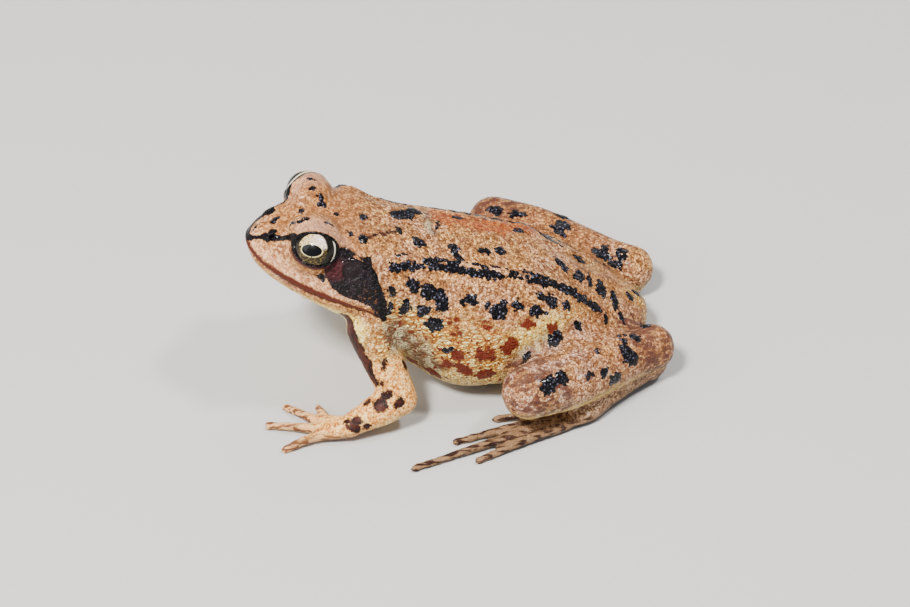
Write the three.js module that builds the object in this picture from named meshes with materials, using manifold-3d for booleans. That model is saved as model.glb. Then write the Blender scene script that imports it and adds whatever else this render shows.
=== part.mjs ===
// A common frog sitting on the ground, life size.
// Millimetres, +Z up. The head points along -Y and the frog's left side is at +X.
import * as THREE from 'three';
import { mergeVertices } from 'three/addons/utils/BufferGeometryUtils.js';
import Module from 'manifold-3d';

const wasm = await Module();
wasm.setup();

// ---------------------------------------------------------------- driving dimensions
const bodyLength = 81.5; // snout tip to vent, along the body's own axis
const bodyPitch = THREE.MathUtils.degToRad(19); // the nose is carried this much higher
const snoutTip = new THREE.Vector3(0, -39, 33);
const gap = 0.3; // left between pieces that touch
const blockSize = 100; // a cutting block, larger than the body in every direction
const neckAt = 26.5; // along the body, where head and trunk part
const mouthLevel = -2.1; // height of the mouth line above the body's axis

const eyeRadius = 4;
const eyeCentre = { across: 8.6, along: 10.7, up: 6.3 };
const upperLid = { across: 6.3, along: 10.5, up: 6.2, radii: [5.5, 5.4, 5] };
const lowerLid = { across: 8.3, along: 10.7, up: 4.1, radii: [3.9, 4.8, 2.8] };
const eardrumRadius = 2.1;
const eardrumThickness = 0.7;
const eardrumCentre = { across: 12.1, along: 17.5, up: 5.2 };
const eardrumFacing = { across: 0.92, along: -0.16, up: 0.35 };

// Head and trunk, as cross-sections: top and low are heights above the body's axis,
// half is the greatest half-width and level its height, and roof and keel say how
// square the section is above and below that level (2 is an ellipse).
const torsoStations = [
  { at: 0, top: -0.4, low: -0.4, half: 0, level: -0.4, roof: 2, keel: 2 },
  { at: 2, top: 3.2, low: -3.6, half: 5, level: -1.3, roof: 2.3, keel: 2 },
  { at: 4, top: 4.9, low: -4.6, half: 7, level: -1.7, roof: 2.4, keel: 2 },
  { at: 8, top: 7.4, low: -5.8, half: 9.7, level: -2, roof: 2.7, keel: 2 },
  { at: 13, top: 8.6, low: -7.2, half: 12, level: -2, roof: 3, keel: 2 },
  { at: 18, top: 9.3, low: -8.8, half: 13.4, level: -2, roof: 3.3, keel: 2 },
  { at: 24, top: 9.2, low: -11.2, half: 14, level: -2.4, roof: 2.9, keel: 2 },
  { at: 30, top: 9.3, low: -14.6, half: 14.6, level: -3.6, roof: 2.5, keel: 2.1 },
  { at: 36, top: 9.4, low: -17.8, half: 16.2, level: -5.2, roof: 2.2, keel: 2.1 },
  { at: 44, top: 9.3, low: -19.8, half: 18.3, level: -7, roof: 2.1, keel: 2.1 },
  { at: 52, top: 8.4, low: -17.4, half: 18.4, level: -6.6, roof: 2.3, keel: 2 },
  { at: 60, top: 6.9, low: -13.8, half: 16, level: -5.4, roof: 2.6, keel: 2 },
  { at: 68, top: 5.2, low: -10.8, half: 12.4, level: -4, roof: 2.7, keel: 2 },
  { at: 75, top: 3.6, low: -8.4, half: 8.8, level: -3, roof: 2.5, keel: 2.1 },
  { at: 79.5, top: 1.6, low: -6, half: 5.8, level: -2.4, roof: 2.2, keel: 2.1 },
  { at: 81.5, top: -1.4, low: -1.4, half: 0, level: -1.4, roof: 2, keel: 2 },
];
const torsoRings = 29;
const torsoSides = 24;

// Joints of the limbs, in the frog's frame before it is centred on its own box.
const arms = {
  left: {
    shoulder: [12.4, -18, 18.4], elbow: [19.8, -13.2, 6.8], wrist: [21.8, -23.6, 2.6],
    knuckles: [20.2, -28, 1.6],
    fingertips: [[13.6, -28.2], [12.6, -34.2], [17.2, -38], [24.2, -35.4]],
  },
  right: {
    shoulder: [-12.4, -15.5, 18.4], elbow: [-20.6, -9.4, 7], wrist: [-23.4, -18.6, 2.6],
    knuckles: [-24.4, -22.8, 1.6],
    fingertips: [[-20.4, -27.4], [-24.8, -29.4], [-30, -31.4], [-34, -26.4]],
  },
};
const legs = {
  left: {
    hip: [6, 29, 6.2], knee: [26, 10.2, 11], heel: [12.4, 36.2, 7], ball: [22.2, 22.4, 2.1],
    toetips: [[17.6, 11.5], [21.4, 4.6], [26.6, -3.6], [32.6, -12.2], [32.2, -0.2]],
  },
  right: {
    hip: [-6, 29, 6], knee: [-29.4, 12, 7.8], heel: [-13, 37.2, 6], ball: [-24.4, 23.6, 2.1],
    toetips: [[-20, 12.6], [-24.2, 5.6], [-29.8, -2.4], [-36.4, -10.4], [-35, 1.2]],
  },
};

const tarsusStart = { back: -0.6, height: 3.7 }; // its middle under the heel
const soleReach = 0.22; // share of the way from the ball to the tip of the third toe
const soleEndHeight = 1.4;
const fingerSpread = 1.5; // between the roots of neighbouring fingers
const toeSpread = 1.3;
const digitTipHeight = 0.6;
const digitArch = { share: 0.45, lift: 0.35 };
const webThickness = 0.7;
const webReach = [0.62, 0.66, 0.6, 0.55, 0.6]; // share of each toe that the web follows
const webDip = 0.8; // how far out the web's edge comes between two toes

// Thickness of each limb along its length: [share of the length, half-width, half-height].
const upperArmProfile = [[0, 4.2, 4.2], [0.5, 3.8, 3.7], [1, 3.3, 3.3]];
const forearmProfile = [[0, 3.3, 3.2], [0.3, 3.4, 3.2], [0.75, 2.7, 2.3], [1, 2.4, 1.9]];
const palmProfile = [[0, 2.3, 1.9], [0.5, 2.9, 1.7], [1, 3.3, 1.3]];
const fingerProfile = [[0, 1.05, 1.1], [0.5, 0.85, 0.9], [0.85, 0.8, 0.8], [1, 0.85, 0.8]];
const thighProfile = [[0, 6.6, 5.4], [0.4, 6.6, 5.5], [0.75, 5.6, 5.1], [1, 4.8, 4.7]];
const shankProfile = [[0, 5.1, 5.2], [0.3, 5.9, 5.8], [0.65, 5, 5], [0.88, 4.3, 4.5], [1, 4.4, 4.8]];
const tarsusProfile = [[0, 3.8, 3.8], [0.3, 3.1, 2.6], [0.7, 2.7, 2.1], [1, 2.9, 1.9]];
const soleProfile = [[0, 3, 2], [0.5, 3.4, 1.7], [1, 3.4, 1.3]];
const toeProfile = [[0, 1.15, 1.15], [0.4, 0.95, 0.95], [0.8, 0.75, 0.75], [1, 0.75, 0.75]];

const skinTan = 0xb98a5c;
const irisGold = 0x8f7d3c;
const eardrumBrown = 0x3a211c;

// ---------------------------------------------------------------- solids and booleans
function solidOf(geometry) {
  // A closed geometry as a manifold solid: shared corners merged, faces turned outwards.
  const bare = geometry.clone();
  bare.deleteAttribute('normal');
  bare.deleteAttribute('uv');
  const merged = mergeVertices(bare, 1e-5);
  const mesh = new wasm.Mesh({
    numProp: 3,
    vertProperties: new Float32Array(merged.attributes.position.array),
    triVerts: new Uint32Array(merged.index.array),
  });
  return new wasm.Manifold(mesh);
}

function geometryOf(solid) {
  const mesh = solid.getMesh();
  const geometry = new THREE.BufferGeometry();
  geometry.setAttribute('position', new THREE.BufferAttribute(mesh.vertProperties, 3));
  geometry.setIndex(new THREE.BufferAttribute(mesh.triVerts, 1));
  geometry.computeVertexNormals();
  return geometry;
}

function ringsToGeometry(rings) {
  // Rings of equally many points, the first and the last drawn together to one point each.
  const sides = rings[0].length;
  const positions = [];
  rings.forEach((ring) => ring.forEach((p) => positions.push(p.x, p.y, p.z)));
  const index = [];
  for (let r = 0; r < rings.length - 1; r += 1) {
    for (let s = 0; s < sides; s += 1) {
      const a = r * sides + s;
      const b = r * sides + ((s + 1) % sides);
      index.push(a, b, a + sides, b, b + sides, a + sides);
    }
  }
  const geometry = new THREE.BufferGeometry();
  geometry.setAttribute('position', new THREE.Float32BufferAttribute(positions, 3));
  geometry.setIndex(index);
  return withFacesOut(dropSlivers(geometry));
}

function dropSlivers(geometry) {
  // At the two ends a ring is one point: its triangles there have no area and go.
  const merged = mergeVertices(geometry, 1e-5);
  const index = Array.from(merged.index.array);
  const kept = [];
  for (let i = 0; i < index.length; i += 3) {
    const [a, b, c] = index.slice(i, i + 3);
    if (a !== b && b !== c && c !== a) kept.push(a, b, c);
  }
  merged.setIndex(kept);
  return merged;
}

function withFacesOut(geometry) {
  // The volume that the faces enclose is negative when they point inwards.
  const point = geometry.attributes.position;
  const index = geometry.index.array;
  const [a, b, c] = [new THREE.Vector3(), new THREE.Vector3(), new THREE.Vector3()];
  let volume = 0;
  for (let i = 0; i < index.length; i += 3) {
    a.fromBufferAttribute(point, index[i]);
    b.fromBufferAttribute(point, index[i + 1]);
    c.fromBufferAttribute(point, index[i + 2]);
    volume += a.dot(b.cross(c));
  }
  if (volume < 0) {
    for (let i = 0; i < index.length; i += 3) {
      [index[i], index[i + 1]] = [index[i + 1], index[i]];
    }
  }
  return geometry;
}

// ---------------------------------------------------------------- smooth profiles
function smoothValue(knots, values, x) {
  // A cubic through the values, with each knot's slope taken from its two neighbours.
  let i = 0;
  while (i < knots.length - 2 && x > knots[i + 1]) i += 1;
  const slope = (k) => {
    const lower = Math.max(k - 1, 0);
    const upper = Math.min(k + 1, knots.length - 1);
    return (values[upper] - values[lower]) / (knots[upper] - knots[lower]);
  };
  const span = knots[i + 1] - knots[i];
  const t = (x - knots[i]) / span;
  const [t2, t3] = [t * t, t * t * t];
  return (2 * t3 - 3 * t2 + 1) * values[i] + (t3 - 2 * t2 + t) * span * slope(i)
    + (3 * t2 - 2 * t3) * values[i + 1] + (t3 - t2) * span * slope(i + 1);
}

// ---------------------------------------------------------------- head and trunk
function bodyDirection(across, along, up) {
  const [cos, sin] = [Math.cos(bodyPitch), Math.sin(bodyPitch)];
  return new THREE.Vector3(across, along * cos + up * sin, up * cos - along * sin);
}

function bodyPoint(across, along, up) {
  // The body's own axis starts at the snout tip and falls towards the vent.
  return bodyDirection(across, along, up).add(snoutTip);
}

function endAngle(along) {
  // Turns a distance along the body into an angle, so that equal steps crowd at both ends
  // and a half-width that grows evenly with the angle gives a round snout and rump.
  return Math.acos(1 - (2 * along) / bodyLength);
}

function squared(value, power) {
  return Math.sign(value) * Math.abs(value) ** (2 / power);
}

function torsoGeometry(grow) {
  const knots = torsoStations.map((station) => endAngle(station.at));
  const keys = ['top', 'low', 'half', 'level', 'roof', 'keel'];
  const rings = [];
  for (let r = 0; r <= torsoRings; r += 1) {
    const angle = (Math.PI * r) / torsoRings;
    const along = (bodyLength * (1 - Math.cos(angle))) / 2;
    const here = {};
    keys.forEach((key) => {
      here[key] = smoothValue(knots, torsoStations.map((station) => station[key]), angle);
    });
    const isEnd = r === 0 || r === torsoRings;
    const extra = isEnd ? 0 : grow;
    const push = -grow * Math.cos(angle);
    const ring = [];
    for (let s = 0; s < torsoSides; s += 1) {
      const turn = (2 * Math.PI * s) / torsoSides;
      const power = Math.sin(turn) > 0 ? here.roof : here.keel;
      const height = Math.sin(turn) > 0 ? here.top - here.level : here.level - here.low;
      const across = (isEnd ? 0 : here.half + extra) * squared(Math.cos(turn), power);
      const up = here.level + (isEnd ? 0 : height + extra) * squared(Math.sin(turn), power);
      ring.push(bodyPoint(across, along + push, up));
    }
    rings.push(ring);
  }
  return ringsToGeometry(rings);
}

const eyeSides = 14;
const lidSides = 12;
const eardrumSides = 16;

function ellipsoid(centre, radii, grow, sides) {
  // A ball stretched along the body's own axes.
  const ball = new THREE.SphereGeometry(1, sides, Math.round(sides / 2));
  ball.scale(radii[0] + grow, radii[1] + grow, radii[2] + grow);
  ball.rotateX(-bodyPitch);
  ball.translate(...bodyPoint(centre.across, centre.along, centre.up).toArray());
  return solidOf(ball);
}

function mirrored(centre, side) {
  return { ...centre, across: centre.across * side };
}

function torso(grow) {
  let solid = solidOf(torsoGeometry(grow));
  [1, -1].forEach((side) => {
    [upperLid, lowerLid].forEach((lid) => {
      solid = solid.add(ellipsoid(mirrored(lid, side), lid.radii, grow, lidSides));
    });
  });
  return solid;
}

function block(centre) {
  // A large box in the body's own directions.
  const box = new THREE.BoxGeometry(blockSize, blockSize, blockSize);
  box.rotateX(-bodyPitch);
  box.translate(...bodyPoint(...centre).toArray());
  return solidOf(box);
}

function aheadOfNeck(grow) {
  const edge = neckAt - gap / 2 + grow;
  return block([0, edge - blockSize / 2, 0]);
}

function behindNeck(grow) {
  const edge = neckAt + gap / 2 - grow;
  return block([0, edge + blockSize / 2, 0]);
}

function head(grow) {
  const edge = mouthLevel + gap / 2 - grow;
  const above = block([0, 0, edge + blockSize / 2]);
  return torso(grow).intersect(aheadOfNeck(grow)).intersect(above);
}

function lowerJaw(grow) {
  const edge = mouthLevel - gap / 2 + grow;
  const below = block([0, 0, edge - blockSize / 2]);
  return torso(grow).intersect(aheadOfNeck(grow)).intersect(below);
}

function trunk(grow) {
  return torso(grow).intersect(behindNeck(grow));
}

function eye(side, grow) {
  return ellipsoid(mirrored(eyeCentre, side), [eyeRadius, eyeRadius, eyeRadius], grow, eyeSides);
}

function eardrum(side, grow) {
  // A thin round plate let into the side of the head behind the eye, flush with the skin.
  const plate = new THREE.CylinderGeometry(
    eardrumRadius + grow, eardrumRadius + grow, eardrumThickness + 2 * grow, eardrumSides);
  const facing = bodyDirection(side * eardrumFacing.across, eardrumFacing.along, eardrumFacing.up);
  const plateAxis = new THREE.Vector3(0, 1, 0);
  const turn = new THREE.Quaternion().setFromUnitVectors(plateAxis, facing.normalize());
  plate.applyQuaternion(turn);
  const centre = mirrored(eardrumCentre, side);
  plate.translate(...bodyPoint(centre.across, centre.along, centre.up).toArray());
  return solidOf(plate);
}

// ---------------------------------------------------------------- limbs
const soleDetail = { sides: 8, steps: 3, capSteps: 2 };
const digitDetail = { sides: 6, steps: 4, capSteps: 2 };

function limb(points, profile, grow, options = {}) {
  // Oval sections along a smooth line through the points, with a round end past each of them.
  // facing is the direction in which a section's height is measured.
  const { facing = [0, 0, 1], sides = 10, steps = 5, capSteps = 3 } = options;
  const line = new THREE.CatmullRomCurve3(points.map((p) => new THREE.Vector3(...p)));
  const [knots, widths, heights] = [0, 1, 2].map((column) => profile.map((row) => row[column]));
  const rows = [];
  for (let c = 0; c < capSteps; c += 1) {
    const angle = (Math.PI / 2) * (c / capSteps);
    rows.push({ share: 0, size: Math.sin(angle), past: -Math.cos(angle) });
  }
  for (let m = 0; m <= steps; m += 1) {
    rows.push({ share: m / steps, size: 1, past: 0 });
  }
  for (let c = capSteps - 1; c >= 0; c -= 1) {
    const angle = (Math.PI / 2) * (c / capSteps);
    rows.push({ share: 1, size: Math.sin(angle), past: Math.cos(angle) });
  }
  const up = new THREE.Vector3(...facing);
  const rings = rows.map(({ share, size, past }) => {
    const tangent = line.getTangentAt(share);
    const across = new THREE.Vector3().crossVectors(up, tangent).normalize();
    const over = new THREE.Vector3().crossVectors(tangent, across).normalize();
    const width = smoothValue(knots, widths, share) + grow;
    const height = smoothValue(knots, heights, share) + grow;
    const centre = line.getPointAt(share).addScaledVector(tangent, past * Math.min(width, height));
    const ring = [];
    for (let s = 0; s < sides; s += 1) {
      const turn = (2 * Math.PI * s) / sides;
      ring.push(centre.clone()
        .addScaledVector(across, size * width * Math.cos(turn))
        .addScaledVector(over, size * height * Math.sin(turn)));
    }
    return ring;
  });
  return solidOf(ringsToGeometry(rings));
}

function between(a, b, share) {
  return a.map((value, axis) => value + (b[axis] - value) * share);
}

function digits(prefix, sideName, root, towards, tips, spread, profile) {
  // The digits start side by side across the end of the palm or sole, arch a little
  // and end low on the ground.
  const ahead = new THREE.Vector3(...towards).sub(new THREE.Vector3(...root)).setZ(0).normalize();
  const inward = sideName === 'left' ? 1 : -1;
  return tips.map((tip, i) => {
    const offset = inward * spread * (i - (tips.length - 1) / 2);
    const start = [root[0] - ahead.y * offset, root[1] + ahead.x * offset, root[2]];
    const end = [...tip, digitTipHeight];
    const arch = between(start, end, digitArch.share);
    arch[2] += digitArch.lift;
    return {
      name: `${prefix}_${i + 1}_${sideName}`,
      make: (grow) => limb([start, arch, end], profile, grow, digitDetail),
    };
  });
}

function armPieces(sideName) {
  const { shoulder, elbow, wrist, knuckles, fingertips } = arms[sideName];
  return [
    { name: `forearm_${sideName}`, make: (grow) => limb([elbow, wrist], forearmProfile, grow) },
    {
      name: `upper_arm_${sideName}`,
      make: (grow) => limb([shoulder, elbow], upperArmProfile, grow, { facing: [1, 0, 0] }),
    },
    {
      name: `hand_${sideName}`,
      make: (grow) => limb([wrist, knuckles], palmProfile, grow, soleDetail),
    },
    ...digits('finger', sideName, knuckles, between(wrist, knuckles, 2), fingertips,
      fingerSpread, fingerProfile),
  ];
}

function web(root, tips, grow) {
  // A thin sheet of skin over the ground, spread from the sole between the toes.
  const outline = new THREE.Shape();
  outline.moveTo(root[0], root[1]);
  tips.forEach((tip, i) => {
    const on = between(root.slice(0, 2), tip, webReach[i]);
    outline.lineTo(...on);
    if (i < tips.length - 1) {
      const next = between(root.slice(0, 2), tips[i + 1], webReach[i + 1]);
      const dip = between(root.slice(0, 2), between(on, next, 0.5), webDip);
      outline.lineTo(...dip);
    }
  });
  outline.closePath();
  const sheet = new THREE.ExtrudeGeometry(outline, { depth: webThickness + grow, bevelEnabled: false });
  return solidOf(sheet);
}

function legPieces(sideName) {
  const { hip, knee, heel, ball, toetips } = legs[sideName];
  const underHeel = [heel[0], heel[1] + tarsusStart.back, tarsusStart.height];
  const soleEnd = between(ball, [...toetips[2], ball[2]], soleReach);
  soleEnd[2] = soleEndHeight;
  return [
    { name: `shank_${sideName}`, make: (grow) => limb([knee, heel], shankProfile, grow) },
    { name: `thigh_${sideName}`, make: (grow) => limb([hip, knee], thighProfile, grow) },
    { name: `tarsus_${sideName}`, make: (grow) => limb([underHeel, ball], tarsusProfile, grow) },
    ...digits('toe', sideName, soleEnd, between(ball, soleEnd, 2), toetips, toeSpread, toeProfile),
    {
      name: `foot_${sideName}`,
      make: (grow) => limb([ball, soleEnd], soleProfile, grow, soleDetail)
        .add(web(ball, toetips, grow)),
    },
  ];
}

// ---------------------------------------------------------------- the whole frog
function floorBlock() {
  const slab = new THREE.BoxGeometry(2 * blockSize, 2 * blockSize, blockSize);
  slab.translate(0, 0, -blockSize / 2);
  return solidOf(slab);
}

function boxesTouch(a, b) {
  const [p, q] = [a.boundingBox(), b.boundingBox()];
  return [0, 1, 2].every((axis) => p.min[axis] < q.max[axis] && q.min[axis] < p.max[axis]);
}

function cutApart(pieces) {
  // Each piece gives way to those before it, made fatter by the gap, and to the floor.
  const floor = floorBlock();
  const fat = pieces.map((piece) => piece.make(gap));
  return pieces.map((piece, i) => {
    let solid = piece.make(0).subtract(floor);
    for (let earlier = 0; earlier < i; earlier += 1) {
      if (boxesTouch(solid, fat[earlier])) solid = solid.subtract(fat[earlier]);
    }
    return { ...piece, solid };
  });
}

const pieces = cutApart([
  { name: 'eye_left', colour: irisGold, make: (grow) => eye(1, grow) },
  { name: 'eye_right', colour: irisGold, make: (grow) => eye(-1, grow) },
  { name: 'eardrum_left', colour: eardrumBrown, make: (grow) => eardrum(1, grow) },
  { name: 'eardrum_right', colour: eardrumBrown, make: (grow) => eardrum(-1, grow) },
  { name: 'head', make: head },
  { name: 'lower_jaw', make: lowerJaw },
  { name: 'trunk', make: trunk },
  ...armPieces('left'),
  ...armPieces('right'),
  ...legPieces('left'),
  ...legPieces('right'),
]);

const frog = new THREE.Group();
pieces.forEach(({ name, colour = skinTan, solid }) => {
  // A cut can leave crumbs beside the piece itself, which is the largest part.
  const parts = solid.decompose().sort((a, b) => b.volume() - a.volume());
  const material = new THREE.MeshStandardMaterial({ color: colour, roughness: 0.45, metalness: 0 });
  const mesh = new THREE.Mesh(geometryOf(parts[0]), material);
  mesh.name = name;
  frog.add(mesh);
});

// The origin is under the middle of the frog, on the ground.
const bounds = new THREE.Box3().setFromObject(frog);
const middle = bounds.getCenter(new THREE.Vector3());
frog.position.set(-middle.x, -middle.y, -bounds.min.z);

export default frog;
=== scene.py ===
# %% [markdown]
# # A common frog, life size
# A grown common frog sits on its belly and folded hind legs, propped on its two arms with
# the nose up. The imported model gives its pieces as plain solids: head, jaw, trunk, and the
# parts of each limb. A real frog shows none of those joints, because one thin wet skin
# runs over all of them. So this scene wraps the whole body in a single skin and paints it,
# and makes the two eyes as balls of their own. Lengths are in millimetres until a mesh is
# stored, because a frog is easier to think about that way, and then they become metres.

# %% Load the frame
import math

import bmesh
import bpy
import numpy as np
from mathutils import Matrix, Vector
from mathutils.bvhtree import BVHTree


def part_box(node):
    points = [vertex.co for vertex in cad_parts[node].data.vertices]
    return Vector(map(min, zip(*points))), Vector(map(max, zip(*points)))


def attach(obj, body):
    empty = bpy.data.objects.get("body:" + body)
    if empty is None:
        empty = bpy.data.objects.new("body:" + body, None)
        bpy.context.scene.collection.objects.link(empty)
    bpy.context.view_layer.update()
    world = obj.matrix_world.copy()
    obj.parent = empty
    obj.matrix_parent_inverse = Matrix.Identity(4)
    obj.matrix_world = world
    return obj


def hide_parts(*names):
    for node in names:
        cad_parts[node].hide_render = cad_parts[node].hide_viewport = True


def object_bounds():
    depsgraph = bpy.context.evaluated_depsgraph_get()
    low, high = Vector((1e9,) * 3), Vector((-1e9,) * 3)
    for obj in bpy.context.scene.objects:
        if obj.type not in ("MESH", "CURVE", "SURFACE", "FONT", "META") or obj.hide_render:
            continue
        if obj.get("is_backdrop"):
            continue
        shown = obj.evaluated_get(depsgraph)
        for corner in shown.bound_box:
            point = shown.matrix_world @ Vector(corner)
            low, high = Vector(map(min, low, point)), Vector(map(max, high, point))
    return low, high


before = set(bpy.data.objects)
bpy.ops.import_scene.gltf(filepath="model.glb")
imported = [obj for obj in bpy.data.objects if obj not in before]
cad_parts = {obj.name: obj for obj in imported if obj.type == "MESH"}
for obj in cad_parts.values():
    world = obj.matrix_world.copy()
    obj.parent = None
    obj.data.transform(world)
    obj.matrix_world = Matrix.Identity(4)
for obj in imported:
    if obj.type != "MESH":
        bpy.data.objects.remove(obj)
cad_low, cad_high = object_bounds()
print("solids in the box, mm:", [round(1000 * (b - a), 1) for a, b in zip(cad_low, cad_high)])

# %% [markdown]
# ## The body's own directions
# The trunk is carried nose up, so its folds and spots are easiest to place along the body
# itself. A place on the body is given as across (to the frog's left), along (from the
# snout tip to the rump) and up (away from the belly). The eyes of the solid model say
# where that body is in the frame: its eye's middle must come out at the box's middle.

# %% Places on the body
millimetre = 0.001
body_length = 81.5
body_pitch = math.radians(19)
snout_tip = np.array([0.0, -39.0, 33.0])
eye_radius = 4.0
eye_centre = np.array([8.6, 10.7, 6.3])


def body_direction(across, along, up):
    """Across, along and up as x, y and z: the body's axis falls by its pitch towards the rump."""
    across, along, up = np.broadcast_arrays(across, along, up)
    cos, sin = math.cos(body_pitch), math.sin(body_pitch)
    return np.stack([across, along * cos + up * sin, up * cos - along * sin], axis=-1)


def body_point(across, along, up):
    """A place on the body in x, y and z: the snout tip plus the turned direction."""
    return snout_tip + body_direction(across, along, up)


def body_places(points):
    """The way back: across, along and up of points in x, y and z."""
    cos, sin = math.cos(body_pitch), math.sin(body_pitch)
    offset = points - snout_tip
    across = offset[:, 0]
    along = offset[:, 1] * cos - offset[:, 2] * sin
    up = offset[:, 1] * sin + offset[:, 2] * cos
    return across, along, up


def node_middle(name):
    low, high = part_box(name)
    return np.array((low + high) / 2) / millimetre


left_eye = body_point(*eye_centre)
shift = node_middle("eye_left") - left_eye
print("the body's zero lies at", np.round(shift, 2), "mm in the frame")

# %% [markdown]
# ## Camera, floor and light
# The frog is seen from its left and well above, with a long lens. A pale floor and large
# soft lamps show wet skin best: the lamps are what its highlights mirror.

# %% Camera
camera_azimuth = math.radians(82)
camera_elevation = math.radians(40)
camera_distance = 0.5
aim_height = 12
camera_aim = Vector(shift * millimetre) + Vector((0, 0, aim_height * millimetre))


def look_from(thing, azimuth, elevation, distance):
    """Puts a camera or lamp on a ball round the frog, looking at the aim. Azimuth 0 is ahead."""
    level = math.cos(elevation)
    back = Vector((math.sin(azimuth) * level, -math.cos(azimuth) * level, math.sin(elevation)))
    thing.location = camera_aim + back * distance
    thing.rotation_euler = (-back).to_track_quat("-Z", "Y").to_euler()
    bpy.context.collection.objects.link(thing)


camera_data = bpy.data.cameras.new("camera")
camera_data.lens = 102.86
camera_data.sensor_width = 36
camera_data.clip_start = 0.01
camera = bpy.data.objects.new("camera", camera_data)
look_from(camera, camera_azimuth, camera_elevation, camera_distance)
bpy.context.scene.camera = camera

# %% Floor
floor_half = 2.0
floor_mesh = bpy.data.meshes.new("floor")
floor_mesh.from_pydata(
    [(x * floor_half, y * floor_half, 0) for x, y in ((-1, -1), (1, -1), (1, 1), (-1, 1))],
    [], [(0, 1, 2, 3)])
floor = bpy.data.objects.new("floor", floor_mesh)
bpy.context.collection.objects.link(floor)
floor_material = bpy.data.materials.new("floor_paper")
floor_material.use_nodes = True
floor_shader = floor_material.node_tree.nodes["Principled BSDF"]
floor_shader.inputs["Base Color"].default_value = (0.52, 0.51, 0.5, 1)
floor_shader.inputs["Roughness"].default_value = 0.75
floor_mesh.materials.append(floor_material)
floor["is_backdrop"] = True

# %% Lamps


def add_lamp(name, azimuth, elevation, distance, size, watts, colour):
    """A square soft lamp. Its size is in metres, like its distance."""
    data = bpy.data.lights.new(name, "AREA")
    data.size, data.energy, data.color = size, watts, colour
    lamp = bpy.data.objects.new(name, data)
    look_from(lamp, math.radians(azimuth), math.radians(elevation), distance)


# name, azimuth, elevation, distance, size, watts and colour
add_lamp("key", 50, 56, 0.9, 0.14, 17, (1.0, 0.97, 0.92))
add_lamp("fill", 14, 26, 1.0, 0.6, 5, (0.96, 0.98, 1.0))
add_lamp("back", 250, 50, 1.0, 0.5, 2, (1.0, 0.98, 0.95))
add_lamp("top", 170, 62, 0.9, 0.1, 5, (1.0, 0.99, 0.97))
world = bpy.data.worlds.new("studio")
world.use_nodes = True
world.node_tree.nodes["Background"].inputs["Color"].default_value = (0.9, 0.93, 1.0, 1)
world.node_tree.nodes["Background"].inputs["Strength"].default_value = 0.45
bpy.context.scene.world = world

# %% [markdown]
# ## The shape under the skin: head and trunk
# A frog's body can be sculpted by hand, but a body that must fit a measured model is
# better computed. Its cross-sections are squarish ovals, and each of their sizes changes
# smoothly from snout to rump. The stations below are those of the solid model, sampled
# here on a much finer grid.

# %% Smooth values between stations


def smooth_values(knots, values, x):
    """A cubic between knots. Its slope at a knot is that of the line between the two next to it."""
    knots = np.asarray(knots, float)
    values = np.asarray(values, float)
    above = np.minimum(np.arange(len(knots)) + 1, len(knots) - 1)
    below = np.maximum(np.arange(len(knots)) - 1, 0)
    slopes = (values[above] - values[below]) / (knots[above] - knots[below])
    i = np.clip(np.searchsorted(knots, x) - 1, 0, len(knots) - 2)
    span = knots[i + 1] - knots[i]
    t = (x - knots[i]) / span
    rise = (2 * t**3 - 3 * t**2 + 1) * values[i] + (3 * t**2 - 2 * t**3) * values[i + 1]
    return rise + span * ((t**3 - 2 * t**2 + t) * slopes[i] + (t**3 - t**2) * slopes[i + 1])


# %% Sections of head and trunk
# at, top, low, half-width, its level, and how square the roof and the keel are
torso_stations = np.array([
    (0, -0.4, -0.4, 0, -0.4, 2, 2),
    (2, 3.2, -3.6, 5, -1.3, 2.3, 2),
    (4, 4.9, -4.6, 7, -1.7, 2.4, 2),
    (8, 7.4, -5.8, 9.7, -2, 2.7, 2),
    (13, 8.6, -7.2, 12, -2, 3, 2),
    (18, 9.3, -8.8, 13.4, -2, 3.3, 2),
    (24, 9.2, -11.2, 14, -2.4, 2.9, 2),
    (30, 9.3, -14.6, 14.6, -3.6, 2.5, 2.1),
    (36, 9.4, -17.8, 16.2, -5.2, 2.2, 2.1),
    (44, 9.3, -19.8, 18.3, -7, 2.1, 2.1),
    (52, 8.4, -17.4, 18.4, -6.6, 2.3, 2),
    (60, 6.9, -13.8, 16, -5.4, 2.6, 2),
    (68, 5.2, -10.8, 12.4, -4, 2.7, 2),
    (75, 3.6, -8.4, 8.8, -3, 2.5, 2.1),
    (79.5, 1.6, -6, 5.8, -2.4, 2.2, 2.1),
    (81.5, -1.4, -1.4, 0, -1.4, 2, 2),
])
torso_rings, torso_sides = 120, 96


def end_angle(along):
    """Distance along the body as an angle from 0 to pi, so that equal steps crowd at both ends."""
    return np.arccos(np.clip(1 - 2 * along / body_length, -1, 1))


def squared(value, power):
    """An oval's cosine or sine pushed outwards: power 2 is round, more is squarer."""
    return np.sign(value) * np.abs(value) ** (2 / power)


def torso_grid():
    """Rings of points: across = half * cos, up = level + height * sin, squared by their powers."""
    angle = np.linspace(0, math.pi, torso_rings)[:, None]
    turn = np.arange(torso_sides)[None, :] * (2 * math.pi / torso_sides)
    knots = end_angle(torso_stations[:, 0])
    columns = [smooth_values(knots, column, angle) for column in torso_stations.T[1:]]
    top, low, half, level, roof, keel = columns
    over = np.sin(turn) > 0
    power = np.where(over, roof, keel)
    height = np.where(over, top - level, level - low)
    across = half * squared(np.cos(turn), power)
    up = level + height * squared(np.sin(turn), power)
    return body_point(across, body_length * (1 - np.cos(angle)) / 2, up)


# %% [markdown]
# ## The shape under the skin: limbs
# Each bone's flesh is an oval section carried along its line, with a round end past each
# joint. At the bent joints these round ends overlap, and there the skin will later run
# smoothly from one to the next.

# %% Carry an oval along a line


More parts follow.
